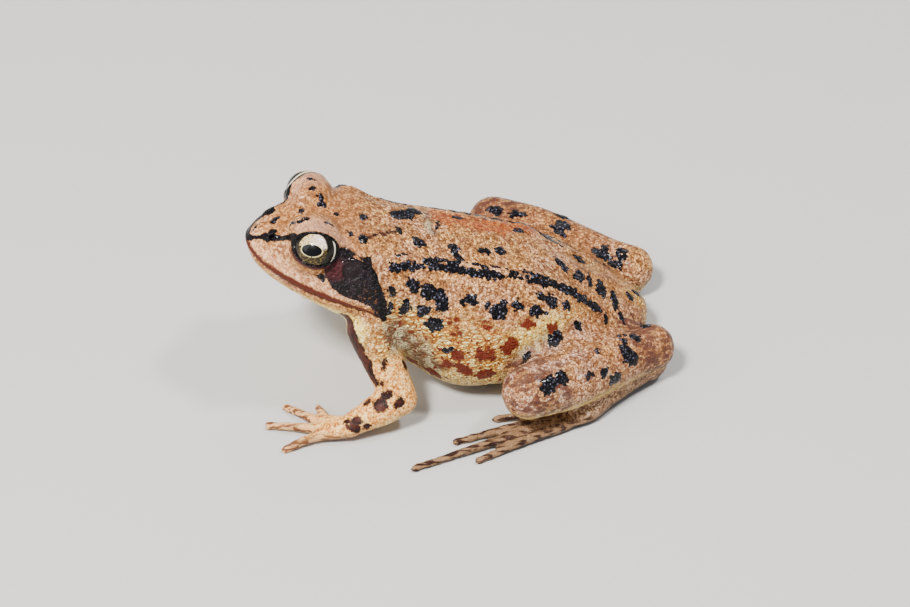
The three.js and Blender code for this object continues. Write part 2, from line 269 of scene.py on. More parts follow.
def quads_between(rings, sides, start=0):
    """Faces of a tube whose points count up ring by ring from start."""
    ring = np.arange(rings - 1)[:, None] * sides
    side = np.arange(sides)[None, :]
    after = (side + 1) % sides
    corners = [ring + side, ring + after, ring + after + sides, ring + side + sides]
    return start + np.stack(corners, -1).reshape(-1, 4)


def limb_grid(points, profile, facing=(0, 0, 1), sides=24, steps=30, cap_steps=8):
    """Ovals along a smooth line through the points. Beyond each end the oval shrinks by a quarter
    circle: size = sin, distance past the end = cos. Three points make the line a quadratic."""
    points = np.array(points, float)
    cap = np.linspace(0, math.pi / 2, cap_steps, endpoint=False)
    share = np.concatenate([np.zeros(cap_steps), np.linspace(0, 1, steps), np.ones(cap_steps)])
    size = np.concatenate([np.sin(cap), np.ones(steps), np.sin(cap[::-1])])
    past = np.concatenate([-np.cos(cap), np.zeros(steps), np.cos(cap[::-1])])
    if len(points) == 2:
        centre = points[0] + share[:, None] * (points[1] - points[0])
        tangent = np.broadcast_to(points[1] - points[0], centre.shape)
    else:
        start, middle, end = points
        pull = (4 * middle - start - end) / 2
        s = share[:, None]
        centre = (1 - s) ** 2 * start + 2 * s * (1 - s) * pull + s**2 * end
        tangent = 2 * (1 - s) * (pull - start) + 2 * s * (end - pull)
    tangent = tangent / np.linalg.norm(tangent, axis=1, keepdims=True)
    wide = np.cross(facing, tangent)
    wide /= np.linalg.norm(wide, axis=1, keepdims=True)
    over = np.cross(tangent, wide)
    profile = np.array(profile)
    width = smooth_values(profile[:, 0], profile[:, 1], share)
    height = smooth_values(profile[:, 0], profile[:, 2], share)
    centre = centre + tangent * (past * np.minimum(width, height))[:, None]
    turn = np.arange(sides) * (2 * math.pi / sides)
    across = wide[:, None, :] * (size * width)[:, None, None] * np.cos(turn)[None, :, None]
    upward = over[:, None, :] * (size * height)[:, None, None] * np.sin(turn)[None, :, None]
    return centre[:, None, :] + across + upward


def ball_grid(centre, radii, sides=48, rings=25):
    """A ball stretched along the body's own directions, drawn from front to back."""
    angle = np.linspace(0, math.pi, rings)[:, None]
    turn = np.arange(sides)[None, :] * (2 * math.pi / sides)
    across = radii[0] * np.sin(angle) * np.cos(turn)
    along = radii[1] * -np.cos(angle) + 0 * turn
    up = radii[2] * np.sin(angle) * np.sin(turn)
    return body_point(centre[0] + across, centre[1] + along, centre[2] + up)


# %% Joints and thicknesses of the limbs
arms = {
    "left": {
        "shoulder": (12.4, -18, 18.4), "elbow": (19.8, -13.2, 6.8), "wrist": (21.8, -23.6, 2.6),
        "knuckles": (20.2, -28, 1.6),
        "fingertips": [(13.6, -28.2), (12.6, -34.2), (17.2, -38), (24.2, -35.4)],
    },
    "right": {
        "shoulder": (-12.4, -15.5, 18.4), "elbow": (-20.6, -9.4, 7), "wrist": (-23.4, -18.6, 2.6),
        "knuckles": (-24.4, -22.8, 1.6),
        "fingertips": [(-20.4, -27.4), (-24.8, -29.4), (-30, -31.4), (-34, -26.4)],
    },
}
legs = {
    "left": {
        "hip": (6, 29, 6.2), "knee": (26, 10.2, 11), "heel": (12.4, 36.2, 7),
        "ball": (22.2, 22.4, 2.1),
        "toetips": [(17.6, 11.5), (21.4, 4.6), (26.6, -3.6), (32.6, -12.2), (32.2, -0.2)],
    },
    "right": {
        "hip": (-6, 29, 6), "knee": (-29.4, 12, 7.8), "heel": (-13, 37.2, 6),
        "ball": (-24.4, 23.6, 2.1),
        "toetips": [(-20, 12.6), (-24.2, 5.6), (-29.8, -2.4), (-36.4, -10.4), (-35, 1.2)],
    },
}
tarsus_height = 3.7
# share of the length, half-width, half-height
limb_profiles = {
    "forearm": [(0, 3.3, 3.2), (0.3, 3.4, 3.2), (0.75, 2.7, 2.3), (1, 2.4, 1.9)],
    "upper_arm": [(0, 4.2, 4.2), (0.5, 3.8, 3.7), (1, 3.3, 3.3)],
    "palm": [(0, 2.3, 1.9), (0.5, 2.9, 1.7), (1, 3.3, 1.3)],
    "shank": [(0, 5.1, 5.2), (0.3, 5.9, 5.8), (0.65, 5, 5), (0.88, 4.3, 4.5), (1, 4.4, 4.8)],
    "thigh": [(0, 6.6, 5.4), (0.4, 6.6, 5.5), (0.75, 5.6, 5.1), (1, 4.8, 4.7)],
    "tarsus": [(0, 3.8, 3.8), (0.3, 3.1, 2.6), (0.7, 2.7, 2.1), (1, 2.9, 1.9)],
    "sole": [(0, 3, 2), (0.5, 3.4, 1.7), (1, 3.4, 1.3)],
}
finger_profile = [(0, 1.05, 1.1), (0.5, 0.85, 0.9), (0.85, 0.8, 0.8), (1, 0.85, 0.8)]
toe_profile = [(0, 1.15, 1.15), (0.4, 0.95, 0.95), (0.8, 0.75, 0.75), (1, 0.75, 0.75)]
finger_spacing, toe_spacing = 1.5, 1.3

# %% Fingers, toes and webs


def between(a, b, share):
    return np.array(a, float) + share * (np.array(b, float) - np.array(a, float))


def digit_lines(side, root, towards, tips, spread):
    """Each digit as start, arch and tip: the starts lie side by side across the end of the palm or
    sole, the arch is a little higher, and the tip is low on the ground."""
    ahead = np.array(towards, float) - np.array(root, float)
    ahead[2] = 0
    ahead /= np.linalg.norm(ahead)
    inward = 1 if side == "left" else -1
    tip_height, arch_share, arch_rise = 0.6, 0.45, 0.35
    lines = []
    for i, tip in enumerate(tips):
        offset = inward * spread * (i - (len(tips) - 1) / 2)
        start = np.array([root[0] - ahead[1] * offset, root[1] + ahead[0] * offset, root[2]])
        end = np.array([*tip, tip_height])
        arch = between(start, end, arch_share) + (0, 0, arch_rise)
        lines.append([start, arch, end])
    return lines


def web_points(root, tips):
    """The web's outline on the ground: out along each toe, and back to the sole between two."""
    reach = [0.62, 0.66, 0.6, 0.55, 0.6]
    scallop = 0.8
    root = np.array(root[:2], float)
    ends = [between(root, tip, share) for tip, share in zip(tips, reach)]
    outline = [root]
    for i, end in enumerate(ends):
        outline.append(end)
        if i + 1 < len(ends):
            outline.append(between(root, between(end, ends[i + 1], 0.5), scallop))
    return np.array(outline)


def sole_end(leg):
    """The front of the sole, a fifth of the way from its ball to the middle toe's tip."""
    end = between(leg["ball"], (*leg["toetips"][2], leg["ball"][2]), 0.22)
    end[2] = 1.4
    return end


# %% All the flesh as one list of grids


def limb_facing(limb):
    """The direction that a limb's width is square to: an upper arm hangs, the rest lie flat."""
    return (1, 0, 0) if limb == "upper_arm" else (0, 0, 1)


web_thickness = 0.75
# the middle and half-sizes of the two lumps of flesh round each eye
upper_lid_lump = ((6.3, 10.5, 6.2), (5.5, 5.4, 5))
lower_lid_lump = ((8.3, 10.7, 4.1), (3.9, 4.8, 2.8))
limb_lines = {}
grids = [torso_grid()]
for side, sign in (("left", 1), ("right", -1)):
    for middle, half_sizes in (upper_lid_lump, lower_lid_lump):
        grids.append(ball_grid(np.array(middle) * (sign, 1, 1), half_sizes))
    arm, leg = arms[side], legs[side]
    wrist, knuckles, ball, toes_start = arm["wrist"], arm["knuckles"], leg["ball"], sole_end(leg)
    under_heel = (leg["heel"][0], leg["heel"][1] - 0.6, tarsus_height)
    limb_lines[side] = {
        "forearm": [arm["elbow"], wrist], "upper_arm": [arm["shoulder"], arm["elbow"]],
        "palm": [wrist, between(wrist, knuckles, 0.5), knuckles],
        "shank": [leg["knee"], leg["heel"]], "thigh": [leg["hip"], leg["knee"]],
        "tarsus": [under_heel, ball], "sole": [ball, between(ball, toes_start, 0.5), toes_start],
    }
    for limb, line in limb_lines[side].items():
        grids.append(limb_grid(line, limb_profiles[limb], facing=limb_facing(limb)))
    ahead = between(wrist, knuckles, 2)
    fingers = digit_lines(side, knuckles, ahead, arm["fingertips"], finger_spacing)
    ahead = between(ball, toes_start, 2)
    toes = digit_lines(side, toes_start, ahead, leg["toetips"], toe_spacing)
    grids += [limb_grid(line, finger_profile, sides=16) for line in fingers]
    grids += [limb_grid(line, toe_profile, sides=16) for line in toes]
print(len(grids), "grids of flesh")

# %% [markdown]
# ## One skin over everything
# The grids overlap like lumps of clay. A voxel remesh melts them into one closed surface
# and leaves nothing inside. It could be replaced by drawing one cage by hand, but then
# the webs and the folded legs would take hundreds of hand-placed points. The remesh
# leaves small steps and hard creases, so the points are then relaxed: a little
# everywhere, and much more in the creases, where flesh would fill the corner.

# %% Melt the grids together
voxel = 0.58


def slab(outline, thickness):
    """A flat sheet on the ground: the outline below and above, as fans of triangles, and a wall."""
    count = len(outline)
    low = np.column_stack([outline, np.zeros(count)])
    high = np.column_stack([outline, np.full(count, thickness)])
    fan = [(0, i, i + 1) for i in range(1, count - 1)]
    under = [(a, c, b) for a, b, c in fan]
    over = [(a + count, b + count, c + count) for a, b, c in fan]
    wall = [(i, (i + 1) % count, (i + 1) % count + count, i + count) for i in range(count)]
    return np.vstack([low, high]), under + over + wall


def melted(grids, slabs, size):
    """One closed mesh of everything the grids and slabs fill, in steps of the voxel size."""
    points, faces, start = [], [], 0
    for grid in grids:
        rings, sides = grid.shape[:2]
        points.append(grid.reshape(-1, 3))
        faces += quads_between(rings, sides, start).tolist()
        start += rings * sides
    for slab_points, slab_faces in slabs:
        points.append(slab_points)
        faces += [tuple(i + start for i in face) for face in slab_faces]
        start += len(slab_points)
    mesh = bpy.data.meshes.new("flesh")
    mesh.from_pydata(np.vstack(points).tolist(), [], faces)
    work = bmesh.new()
    work.from_mesh(mesh)
    bmesh.ops.remove_doubles(work, verts=work.verts, dist=1e-4)
    work.to_mesh(mesh)
    work.free()
    lump = bpy.data.objects.new("flesh", mesh)
    bpy.context.collection.objects.link(lump)
    modifier = lump.modifiers.new("melt", "REMESH")
    modifier.mode = "VOXEL"
    modifier.voxel_size = size
    shown = lump.evaluated_get(bpy.context.evaluated_depsgraph_get())
    skin_mesh = bpy.data.meshes.new_from_object(shown)
    bpy.data.objects.remove(lump)
    bpy.data.meshes.remove(mesh)
    return skin_mesh


slabs = [slab(web_points(leg["ball"], leg["toetips"]), web_thickness) for leg in legs.values()]
skin_mesh = melted(grids, slabs, voxel)
print("melted skin:", len(skin_mesh.vertices), "points", len(skin_mesh.polygons), "faces")

# %% Read, write and relax the points of a mesh


def read_points(mesh):
    points = np.empty(len(mesh.vertices) * 3)
    mesh.vertices.foreach_get("co", points)
    return points.reshape(-1, 3)


def write_points(mesh, points):
    mesh.vertices.foreach_set("co", np.asarray(points, np.float32).ravel())
    mesh.update()


def read_normals(mesh):
    normals = np.empty(len(mesh.vertices) * 3)
    mesh.vertex_normals.foreach_get("vector", normals)
    return normals.reshape(-1, 3)


def read_edges(mesh):
    edges = np.empty(len(mesh.edges) * 2, int)
    mesh.edges.foreach_get("vertices", edges)
    return edges.reshape(-1, 2)


def neighbour_mean(values, edges):
    """The mean of each point's neighbours, for values in columns."""
    count = len(values)
    degree = np.bincount(edges.ravel(), minlength=count)
    columns = []
    for column in values.T:
        there = np.bincount(edges[:, 0], column[edges[:, 1]], count)
        columns.append(there + np.bincount(edges[:, 1], column[edges[:, 0]], count))
    return np.stack(columns, -1) / np.maximum(degree, 1)[:, None]


def even_out(points, edges, rounds, amount=1.0):
    """Smooths without shrinking: a step towards the neighbours' mean, and about the same back."""
    amount = np.broadcast_to(np.asarray(amount, float), len(points))[:, None]
    for _ in range(rounds):
        points = points + 0.55 * amount * (neighbour_mean(points, edges) - points)
        points = points - 0.57 * amount * (neighbour_mean(points, edges) - points)
    return points


def ramp(value, start, end):
    """From 0 at start to 1 at end with soft ends: 3t^2 - 2t^3."""
    t = np.clip((value - start) / (end - start), 0, 1)
    return t * t * (3 - 2 * t)


def fill_creases(mesh, edges, rounds, reach):
    """A point lies in a crease if its neighbours' mean is outside the surface. It moves there."""
    points = read_points(mesh)
    for step in range(rounds):
        pull = neighbour_mean(points, edges) - points
        if step % 4 == 0:
            write_points(mesh, points)
            normals = read_normals(mesh)
            hollow = np.maximum((pull * normals).sum(1), 0)
            for _ in range(3):
                hollow = neighbour_mean(hollow[:, None], edges)[:, 0]
            weight = ramp(hollow, 0.004, 0.03) * reach
        points = points + 0.9 * weight[:, None] * pull
    write_points(mesh, points)
    return points


# %% Relax the skin
first_rounds, crease_rounds, last_rounds = 6, 60, 4
# creases fill by this share, and fully within these distances of the shoulders and hips
crease_share = 0.6
full_within = {"upper_arm": 9.0, "thigh": 15.0}
edges = read_edges(skin_mesh)
points = even_out(read_points(skin_mesh), edges, first_rounds)
write_points(skin_mesh, points)
reach = np.full(len(points), crease_share)
for side in limb_lines:
    for name, radius in full_within.items():
        from_joint = np.linalg.norm(points - np.array(limb_lines[side][name][0]), axis=1)
        faded = ramp(from_joint, radius, radius + 5) * (1 - crease_share)
        reach = np.maximum(reach, 1 - faded)
points = fill_creases(skin_mesh, edges, crease_rounds, reach)
points = even_out(points, edges, last_rounds)
write_points(skin_mesh, points)
print("relaxed over", crease_rounds, "rounds")

# %% Finer mesh on the head, finest round the eyes


def split_faces(mesh, chosen):
    """Halves every edge between chosen points, and cuts the faces to match."""
    work = bmesh.new()
    work.from_mesh(mesh)
    work.verts.ensure_lookup_table()
    picked = [edge for edge in work.edges if all(chosen[end.index] for end in edge.verts)]
    bmesh.ops.subdivide_edges(work, edges=picked, cuts=1, use_grid_fill=True)
    bmesh.ops.triangulate(work, faces=[face for face in work.faces if len(face.verts) > 4])
    work.to_mesh(mesh)
    work.free()


nostril_place = (3.9, 3.4, 3.5)
mouth_line = np.array([
    (-1, -1.1), (0, -1.2), (3, -1.7), (12, -2.1), (20, -2.3), (25, -3.1), (30, -5)])
# how far back the head's finer mesh reaches, and how far from its forms the finest
head_end, mouth_end = 21.5, 25
fine_by_eye, fine_by_mouth, fine_by_nostril = 5.9, 0.75, 1.4
across, along, up = body_places(points)
split_faces(skin_mesh, along < head_end)
across, along, up = body_places(read_points(skin_mesh))
folded = np.stack([np.abs(across), along, up], -1)
from_eye = np.linalg.norm(folded - eye_centre, axis=1)
from_nostril = np.linalg.norm(folded - nostril_place, axis=1)
from_mouth = np.abs(up - np.interp(along, mouth_line[1:6, 0], mouth_line[1:6, 1]))
on_mouth = (from_mouth < fine_by_mouth) & (along < mouth_end)
split_faces(skin_mesh, (from_eye < fine_by_eye) | on_mouth | (from_nostril < fine_by_nostril))
edges = read_edges(skin_mesh)
points = even_out(read_points(skin_mesh), edges, 3)
write_points(skin_mesh, points)
triangles = sum(len(face.vertices) - 2 for face in skin_mesh.polygons)
print("finer skin:", len(points), "points", triangles, "triangles")

# %% [markdown]
# ## Eyelids
# A frog's eyeball stands out of the head like a marble pressed into clay, and the lids are
# simply skin that hugs it up to the opening. They could be separate rings, but a ring
# leaves a seam. Here the skin itself is fitted: seen from the eye's middle, each point has
# a direction and a distance. Inside the opening the skin is sent behind the eyeball, at
# the rim it turns over in a small round edge, and outside it keeps just clear of the ball.
# The two eyes are not alike: this frog's right eye is open wider and further forward.

# %% The opening of the eye
# 1 is the frog's left side and -1 its right side
side_names = {1: "left", -1: "right"}
opening_rise = math.radians(36)
opening_forward = {1: math.radians(19), -1: math.radians(36)}
opening_half_long = math.radians(74)
opening_half_over = {1: math.radians(37), -1: math.radians(44)}
opening_half_under = math.radians(51)
lid_thickness = {1: 0.34, -1: 0.2}
lid_clearance = 0.08
lid_edge_width = 0.55  # over which the lid's rim rounds up to its full thickness
lid_reach = 7.5  # from the eye's middle, as far as the skin is fitted
sunk_depth = 0.55  # of the skin behind the opening, under the ball's surface


def eye_axes(side, rise, forward):
    """Outward, forward and upward directions of an eye in across, along and up."""
    sideways, onward = math.cos(rise) * math.cos(forward), math.cos(rise) * math.sin(forward)
    outward = np.array([side * sideways, -onward, math.sin(rise)])
    ahead = np.array([0.0, -1.0, 0.0])
    ahead -= outward * ahead.dot(outward)
    ahead /= np.linalg.norm(ahead)
    above = np.cross(ahead, outward) * side
    return outward, ahead, above


def rim_distance(directions, side):
    """Millimetres over the eyeball from the opening's edge, negative inside. The edge is an oval in
    angles: 1 = (long / half length)^2 + (high / half height)^2."""
    outward, ahead, above = eye_axes(side, opening_rise, opening_forward[side])
    away = np.arccos(np.clip(directions @ outward, -1, 1))
    round_it = np.arctan2(directions @ above, directions @ ahead)
    half_high = np.where(np.sin(round_it) > 0, opening_half_over[side], opening_half_under)
    edge = 1 / np.hypot(np.cos(round_it) / opening_half_long, np.sin(round_it) / half_high)
    return (away - edge) * eye_radius


def soft_max(a, b, blend):
    """The larger of two values, rounded off where they are within the blend of each other."""
    h = np.clip(0.5 + 0.5 * (a - b) / blend, 0, 1)
    return b + (a - b) * h + blend * h * (1 - h)


# %% Fit the skin round the eyeballs


def fit_lids(mesh, side):
    """Moves the skin near an eye to a new distance from its middle: at least the ball and the lid's
    thickness, at most a little more with each millimetre from the rim, and sunk inside it."""
    points = read_points(mesh)
    centre = eye_centre * (side, 1, 1)
    offset = np.stack(body_places(points), -1) - centre
    distance = np.linalg.norm(offset, axis=1)
    near = distance < lid_reach
    directions = offset[near] / distance[near, None]
    reach = distance[near]
    rim = rim_distance(directions, side)
    edge = np.clip(rim / lid_edge_width, 0, 1)
    rolled = eye_radius + lid_clearance + lid_thickness[side] * np.sqrt(1 - (1 - edge) ** 2)
    lowest = rolled - 0.5 * np.maximum(rim - 1, 0) ** 1.5
    out = np.maximum(rim, 0)
    loose = rolled + 0.12 + 0.75 * out + 0.35 * out**2
    tight = rolled + 0.08 + 0.25 * out + 0.35 * np.maximum(out - 1.2, 0) ** 2
    highest = loose + (tight - loose) * ramp(-directions[:, 1], 0.2, 0.6)
    fitted = -soft_max(-soft_max(reach, lowest, 0.25), -highest, 0.25 + 0.4 * out)
    sunk = np.minimum(reach, eye_radius - sunk_depth)
    fitted = np.where(rim < -0.02, sunk, fitted)
    points[near] = body_point(*(centre + directions * fitted[:, None]).T)
    write_points(mesh, points)


def eye_offset(places, side):
    """Distance from the eye's middle, and millimetres over the ball from the lids' edge."""
    offset = places - eye_centre * (side, 1, 1)
    distance = np.linalg.norm(offset, axis=1)
    return distance, rim_distance(offset / distance[:, None], side)


for side in side_names:
    fit_lids(skin_mesh, side)
places = np.stack(body_places(read_points(skin_mesh)), -1)
reach = np.zeros(len(places))
for side in side_names:
    distance, rim = eye_offset(places, side)
    reach = np.maximum(reach, ramp(rim, 0.7, 1.6) * (1 - ramp(distance, lid_reach, 10)))
points = fill_creases(skin_mesh, edges, 160, reach)
print("lids fitted")

# %% [markdown]
# ## Reading and marking the skin
# The rest of the work is done on the skin's own points. Each point gets its place on the
# body and its normal in the body's directions. A mark is then a distance: to a spot, to a
# path drawn over the skin, or to an outline seen from the side. Noise keeps edges lively,
# and it is seeded, so every run gives the same frog.

# %% Places, paths and noise on the skin


def skin_state(mesh):
    """Places and normals of all points, each as across, along and up."""
    places = np.stack(body_places(read_points(mesh)), -1)
    normals = read_normals(mesh)
    cos, sin = math.cos(body_pitch), math.sin(body_pitch)
    along = normals[:, 1] * cos - normals[:, 2] * sin
    up = normals[:, 1] * sin + normals[:, 2] * cos
    return places, np.stack([normals[:, 0], along, up], -1)


def on_skin(places, place):
    """The number of the skin point nearest to a place."""
    return int(np.argmin(((places - np.asarray(place, float)) ** 2).sum(1)))


def path_distance(places, path, laid_on=True, steps=24):
    """Distance to a smooth path, and the share of the path where each point is nearest to it."""
    path = np.array(path, float)
    knots = np.arange(len(path))
    at = np.linspace(0, knots[-1], steps)
    fine = np.stack([smooth_values(knots, column, at) for column in path.T], -1)
    if laid_on:
        fine = np.stack([places[on_skin(places, point)] for point in fine])
    nearest, share = np.full(len(places), 1e9), np.zeros(len(places))
    for i, (start, end) in enumerate(zip(fine, fine[1:])):
        step = end - start
        t = np.clip(((places - start) @ step) / max(step @ step, 1e-9), 0, 1)
        distance = np.linalg.norm(places - start - t[:, None] * step, axis=1)
        closer = distance < nearest
        nearest[closer] = distance[closer]
        share[closer] = ((i + t) / (len(fine) - 1))[closer]
    return nearest, share


def bump(distance, width):
    """A soft hump: e to the power of minus (distance / width) squared."""
    return np.exp(-(distance / width) ** 2)


def noise(points, size, seed):
    """Random numbers from -1 to 1 at the corners of cubes, blended smoothly between them."""
    cubes = 32
    table = np.random.default_rng(seed).uniform(-1, 1, (cubes, cubes, cubes))
    cell = np.asarray(points) / size
    corner = np.floor(cell).astype(int)
    t = cell - corner
    t = t * t * (3 - 2 * t)
    total = 0
    for i, j, k in np.ndindex(2, 2, 2):
        weight = np.prod(np.where((i, j, k), t, 1 - t), axis=1)
        x, y, z = ((corner + (i, j, k)) % cubes).T
        total = total + weight * table[x, y, z]
    return total


# %% [markdown]
# ## Relief of the head and the body
# These are the forms that tell a common frog from any other: nostrils close to the snout's
# tip, a long mouth line, a round eardrum behind the eye, a fold over that eardrum, and the
# two folds that run from the eyes down the sides of the back. Each is a height in
# millimetres, added along the skin's normal. A bump map could draw them instead, but it
# would leave the outline flat where these folds cross it.

# %% Where the head's forms lie
eardrum_place = (12.2, 17.6, 5.2)
eardrum_radius = 2.1
ear_fold = [
    (11.5, 16, 7.2), (11.9, 17.8, 7.8), (12.8, 21, 6.6), (13.4, 23.8, 3.8), (14, 25.6, 0.4),
    (13.6, 26.6, -2.4)]
nose_ridge = [(7.4, 6.4, 7.6), (5.6, 5.2, 5.9), (4.3, 4.3, 4.6)]
back_fold = [
    (9.6, 16.4, 9), (9.9, 20.5, 8.6), (9.5, 25.4, 8.1), (8.5, 31.2, 7.8), (7.8, 38, 7.9),
    (7.8, 44.5, 7.8), (7.1, 51, 7.6), (6.6, 56, 7), (6, 61, 6.3), (6.2, 66.5, 5), (5.4, 72, 3.5)]


def mouth_height(places):
    """How far above the mouth line a point lies."""
    along, up = np.clip(places[:, 1], -1, 30), places[:, 2]
    return up - smooth_values(mouth_line[:, 0], mouth_line[:, 1], along)


# %% Raise and sink the head's forms
places, normals = skin_state(skin_mesh)
beside = np.sqrt(np.clip(1 - normals[:, 2] ** 2, 0, 1))
over_mouth = mouth_height(places)
has_mouth = (1 - ramp(places[:, 1], 23, 25.5)) * ramp(beside, 0.25, 0.6)
upper_lip = 0.2 * bump(over_mouth - 0.75, 0.55)
mouth_slit = 0.5 * bump(over_mouth, 0.26)
chin_groove = 0.12 * bump(over_mouth + 0.8, 0.6)
height = has_mouth * (upper_lip - mouth_slit - chin_groove)
for side in side_names:
    mirror = np.array([side, 1, 1])
    to_nostril = np.linalg.norm(places - places[on_skin(places, nostril_place * mirror)], axis=1)
    height += 0.2 * bump(to_nostril - 0.85, 0.35) - 0.75 * (1 - ramp(to_nostril, 0.25, 0.62))
    to_drum = np.linalg.norm(places - places[on_skin(places, eardrum_place * mirror)], axis=1)
    height += 0.16 * bump(to_drum - eardrum_radius, 0.3) - 0.22 * (1 - ramp(to_drum, 1.4, 2.1))
    height += 0.1 * bump(to_drum, 0.7)
    fold, share = path_distance(places, np.array(ear_fold) * mirror)
    height += 0.42 * bump(fold, 0.8) * ramp(share, 0, 0.12) * (1 - ramp(share, 0.85, 1))
    ridge, share = path_distance(places, np.array(nose_ridge) * mirror)
    height += 0.22 * bump(ridge, 0.9)
    distance, rim = eye_offset(places, side)
    lid = (distance < 6.2) & (rim > 0.9)
    upper = ramp(places[:, 2], eye_centre[2] - 0.5, eye_centre[2] + 2)
    upper_groove, lower_groove = 0.1 * bump(rim - 1.7, 0.22), 0.08 * bump(rim - 1.25, 0.25)
    height -= np.where(lid, upper * upper_groove + (1 - upper) * lower_groove, 0)
print("head relief from", round(height.min(), 2), "to", round(height.max(), 2), "mm")

# %% Raise and sink the back, the flanks and the limbs
across, along, up = places.T
on_back = ramp(normals[:, 2], 0.2, 0.7) * ramp(along, 20, 27)
# rise, across, along, how much shorter along, and width of the paired humps and dips
back_humps = [(0.4, 6.2, 29.5, 0.8, 3), (-0.28, 3.4, 67, 0.45, 2.2), (0.4, 4.5, 54, 0.9, 3.4)]
# rise, place and width of the single humps: on the right hip and over the right ear
single_humps = [(0.6, (-9.6, 54.6, 6), 2), (0.45, (-9.5, 18.4, 8.3), 2)]
neck_dip, spine_groove, rump_ridge = 1.1, 0.22, 0.3
for side in side_names:
    fold, share = path_distance(places, np.array(back_fold) * (side, 1, 1))
    fold_height = 0.34 * bump(fold - 0.1, 0.5) - 0.12 * bump(fold - 1.9, 0.7)
    height += ramp(share, 0, 0.1) * (1 - ramp(share, 0.9, 1)) * fold_height
    for rise, at_across, at_along, shorter, width in back_humps:
        from_hump = np.hypot(across - side * at_across, (along - at_along) * shorter)
        height += rise * bump(from_hump, width) * on_back
for rise, place, width in single_humps:
    height += rise * bump(np.linalg.norm(places - place, axis=1), width)
height -= neck_dip * bump(across + 9, 2.6) * bump(along - 27.5, 5.5) * ramp(up, 4, 6)
on_spine = on_back * ramp(along, 26, 32) * (1 - ramp(along, 52, 58))
height -= spine_groove * bump(across, 0.9) * on_spine
height += rump_ridge * bump(across, 1.6) * on_back * ramp(along, 52, 58)
on_trunk = ramp(along, 24, 32) * (np.abs(across) < 19) * (read_points(skin_mesh)[:, 2] > 3)
on_flank = on_trunk * (1 - ramp(up, 1, 6)) * ramp(up, -16, -10)
wrinkle_seed, granule_seed, wart_seed = 5, 6, 17
wrinkle_depth, head_granule, body_granule = 0.16, 0.02, 0.05
height += wrinkle_depth * on_flank * noise(places * (1, 0.4, 1.4), 1.25, wrinkle_seed)
height += noise(places, 1.1, granule_seed) * np.where(along < 22, head_granule, body_granule)
print("relief from", round(height.min(), 2), "to", round(height.max(), 2), "mm")
points = read_points(skin_mesh) + height[:, None] * read_normals(skin_mesh)
points[:, 2] = np.maximum(points[:, 2], 0)
write_points(skin_mesh, points)

# %% [markdown]
# ## Where the colours lie
# A frog's colours are laid down in the skin, so they are kept with its points. Black and
# brown marks are stored as a distance from their edge in millimetres, negative inside,
# and the material decides how ragged that edge is. Soft tints are stored as shares from 0
# to 1. The right flank's spots mirror the left ones. The head, the back and each leg have
# spots of their own.

# %% Lists of marks
# across, along, up, half-length, half-width, turn in degrees (the rear end up)
back_spots = [
    (-2.7, 27.7, 9.1, 2.6, 1.3, 12), (-4.6, 30.4, 9.1, 1.3, 1.2, 30), (2.3, 26.3, 9.1, 1, 0.7, -30),
    (5.2, 30, 8.9, 1.4, 1, -35), (5, 37.4, 8.8, 0.95, 1.3, 0), (6.4, 38, 8.4, 0.7, 1, 0),
    (3.5, 43.9, 8.9, 1.35, 0.75, 0), (2.5, 46.8, 8.8, 1, 1, -25), (-8, 60, 5.8, 2.7, 0.8, -50),
    (0.6, 60.5, 6.7, 1.9, 0.9, -55), (-4.3, 66.1, 5, 1.3, 0.8, -30), (2.2, 64.2, 5.8, 1, 1.5, -35),
    (2.3, 66.7, 5.3, 0.45, 1.5, 0), (3.2, 68.9, 4.6, 0.95, 2.2, 0), (4.8, 71.9, 3.7, 0.7, 2.4, 0),
    (2, 75.4, 3.1, 0.9, 0.9, 40), (-0.5, 77.8, 2.4, 1.1, 0.7, 0), (-6.3, 39.7, 8.3, 1.4, 0.5, 0),
    (-8.4, 44.8, 7.6, 1.7, 0.6, 0), (-1.2, 34.8, 9.3, 0.22, 1.2, -25),
    (6.6, 19.2, 8.8, 0.9, 0.75, 0), (8.9, 26.8, 8, 1.1, 0.4, 8), (-6.4, 52.2, 7.6, 1.1, 0.6, 20),
    (-6.8, 70.6, 3.6, 0.9, 0.6, -40),
]
head_spots = [
    (0.3, 4, 4.9, 1, 0.32, 30), (-0.1, 1.1, 2.2, 0.32, 0.3, 0), (4.3, 5.8, 7.6, 0.55, 0.35, 0),
    (5.7, 7.6, 9.9, 0.6, 0.5, 0), (5.3, 6.7, 9, 0.35, 0.3, 0), (-0.4, 8.5, 7.5, 0.5, 0.4, 0),
    (0.5, 14.6, 8.9, 0.35, 0.35, 0), (6.9, 11.8, 10.7, 0.7, 0.3, -10),
    (5.6, 16.7, 8.9, 0.45, 0.2, -35), (-5.9, 9.6, 10.9, 0.5, 0.3, 0),
    (-3.8, 10.1, 10.2, 0.4, 0.35, 0), (-3.1, 11.6, 9.4, 0.45, 0.35, 0),
    (-1.9, 12.1, 8.4, 0.75, 0.45, 10), (0.7, 19.8, 9.2, 0.8, 0.75, 0),
    (11.5, 12.7, 2.5, 0.6, 0.55, 0),
]
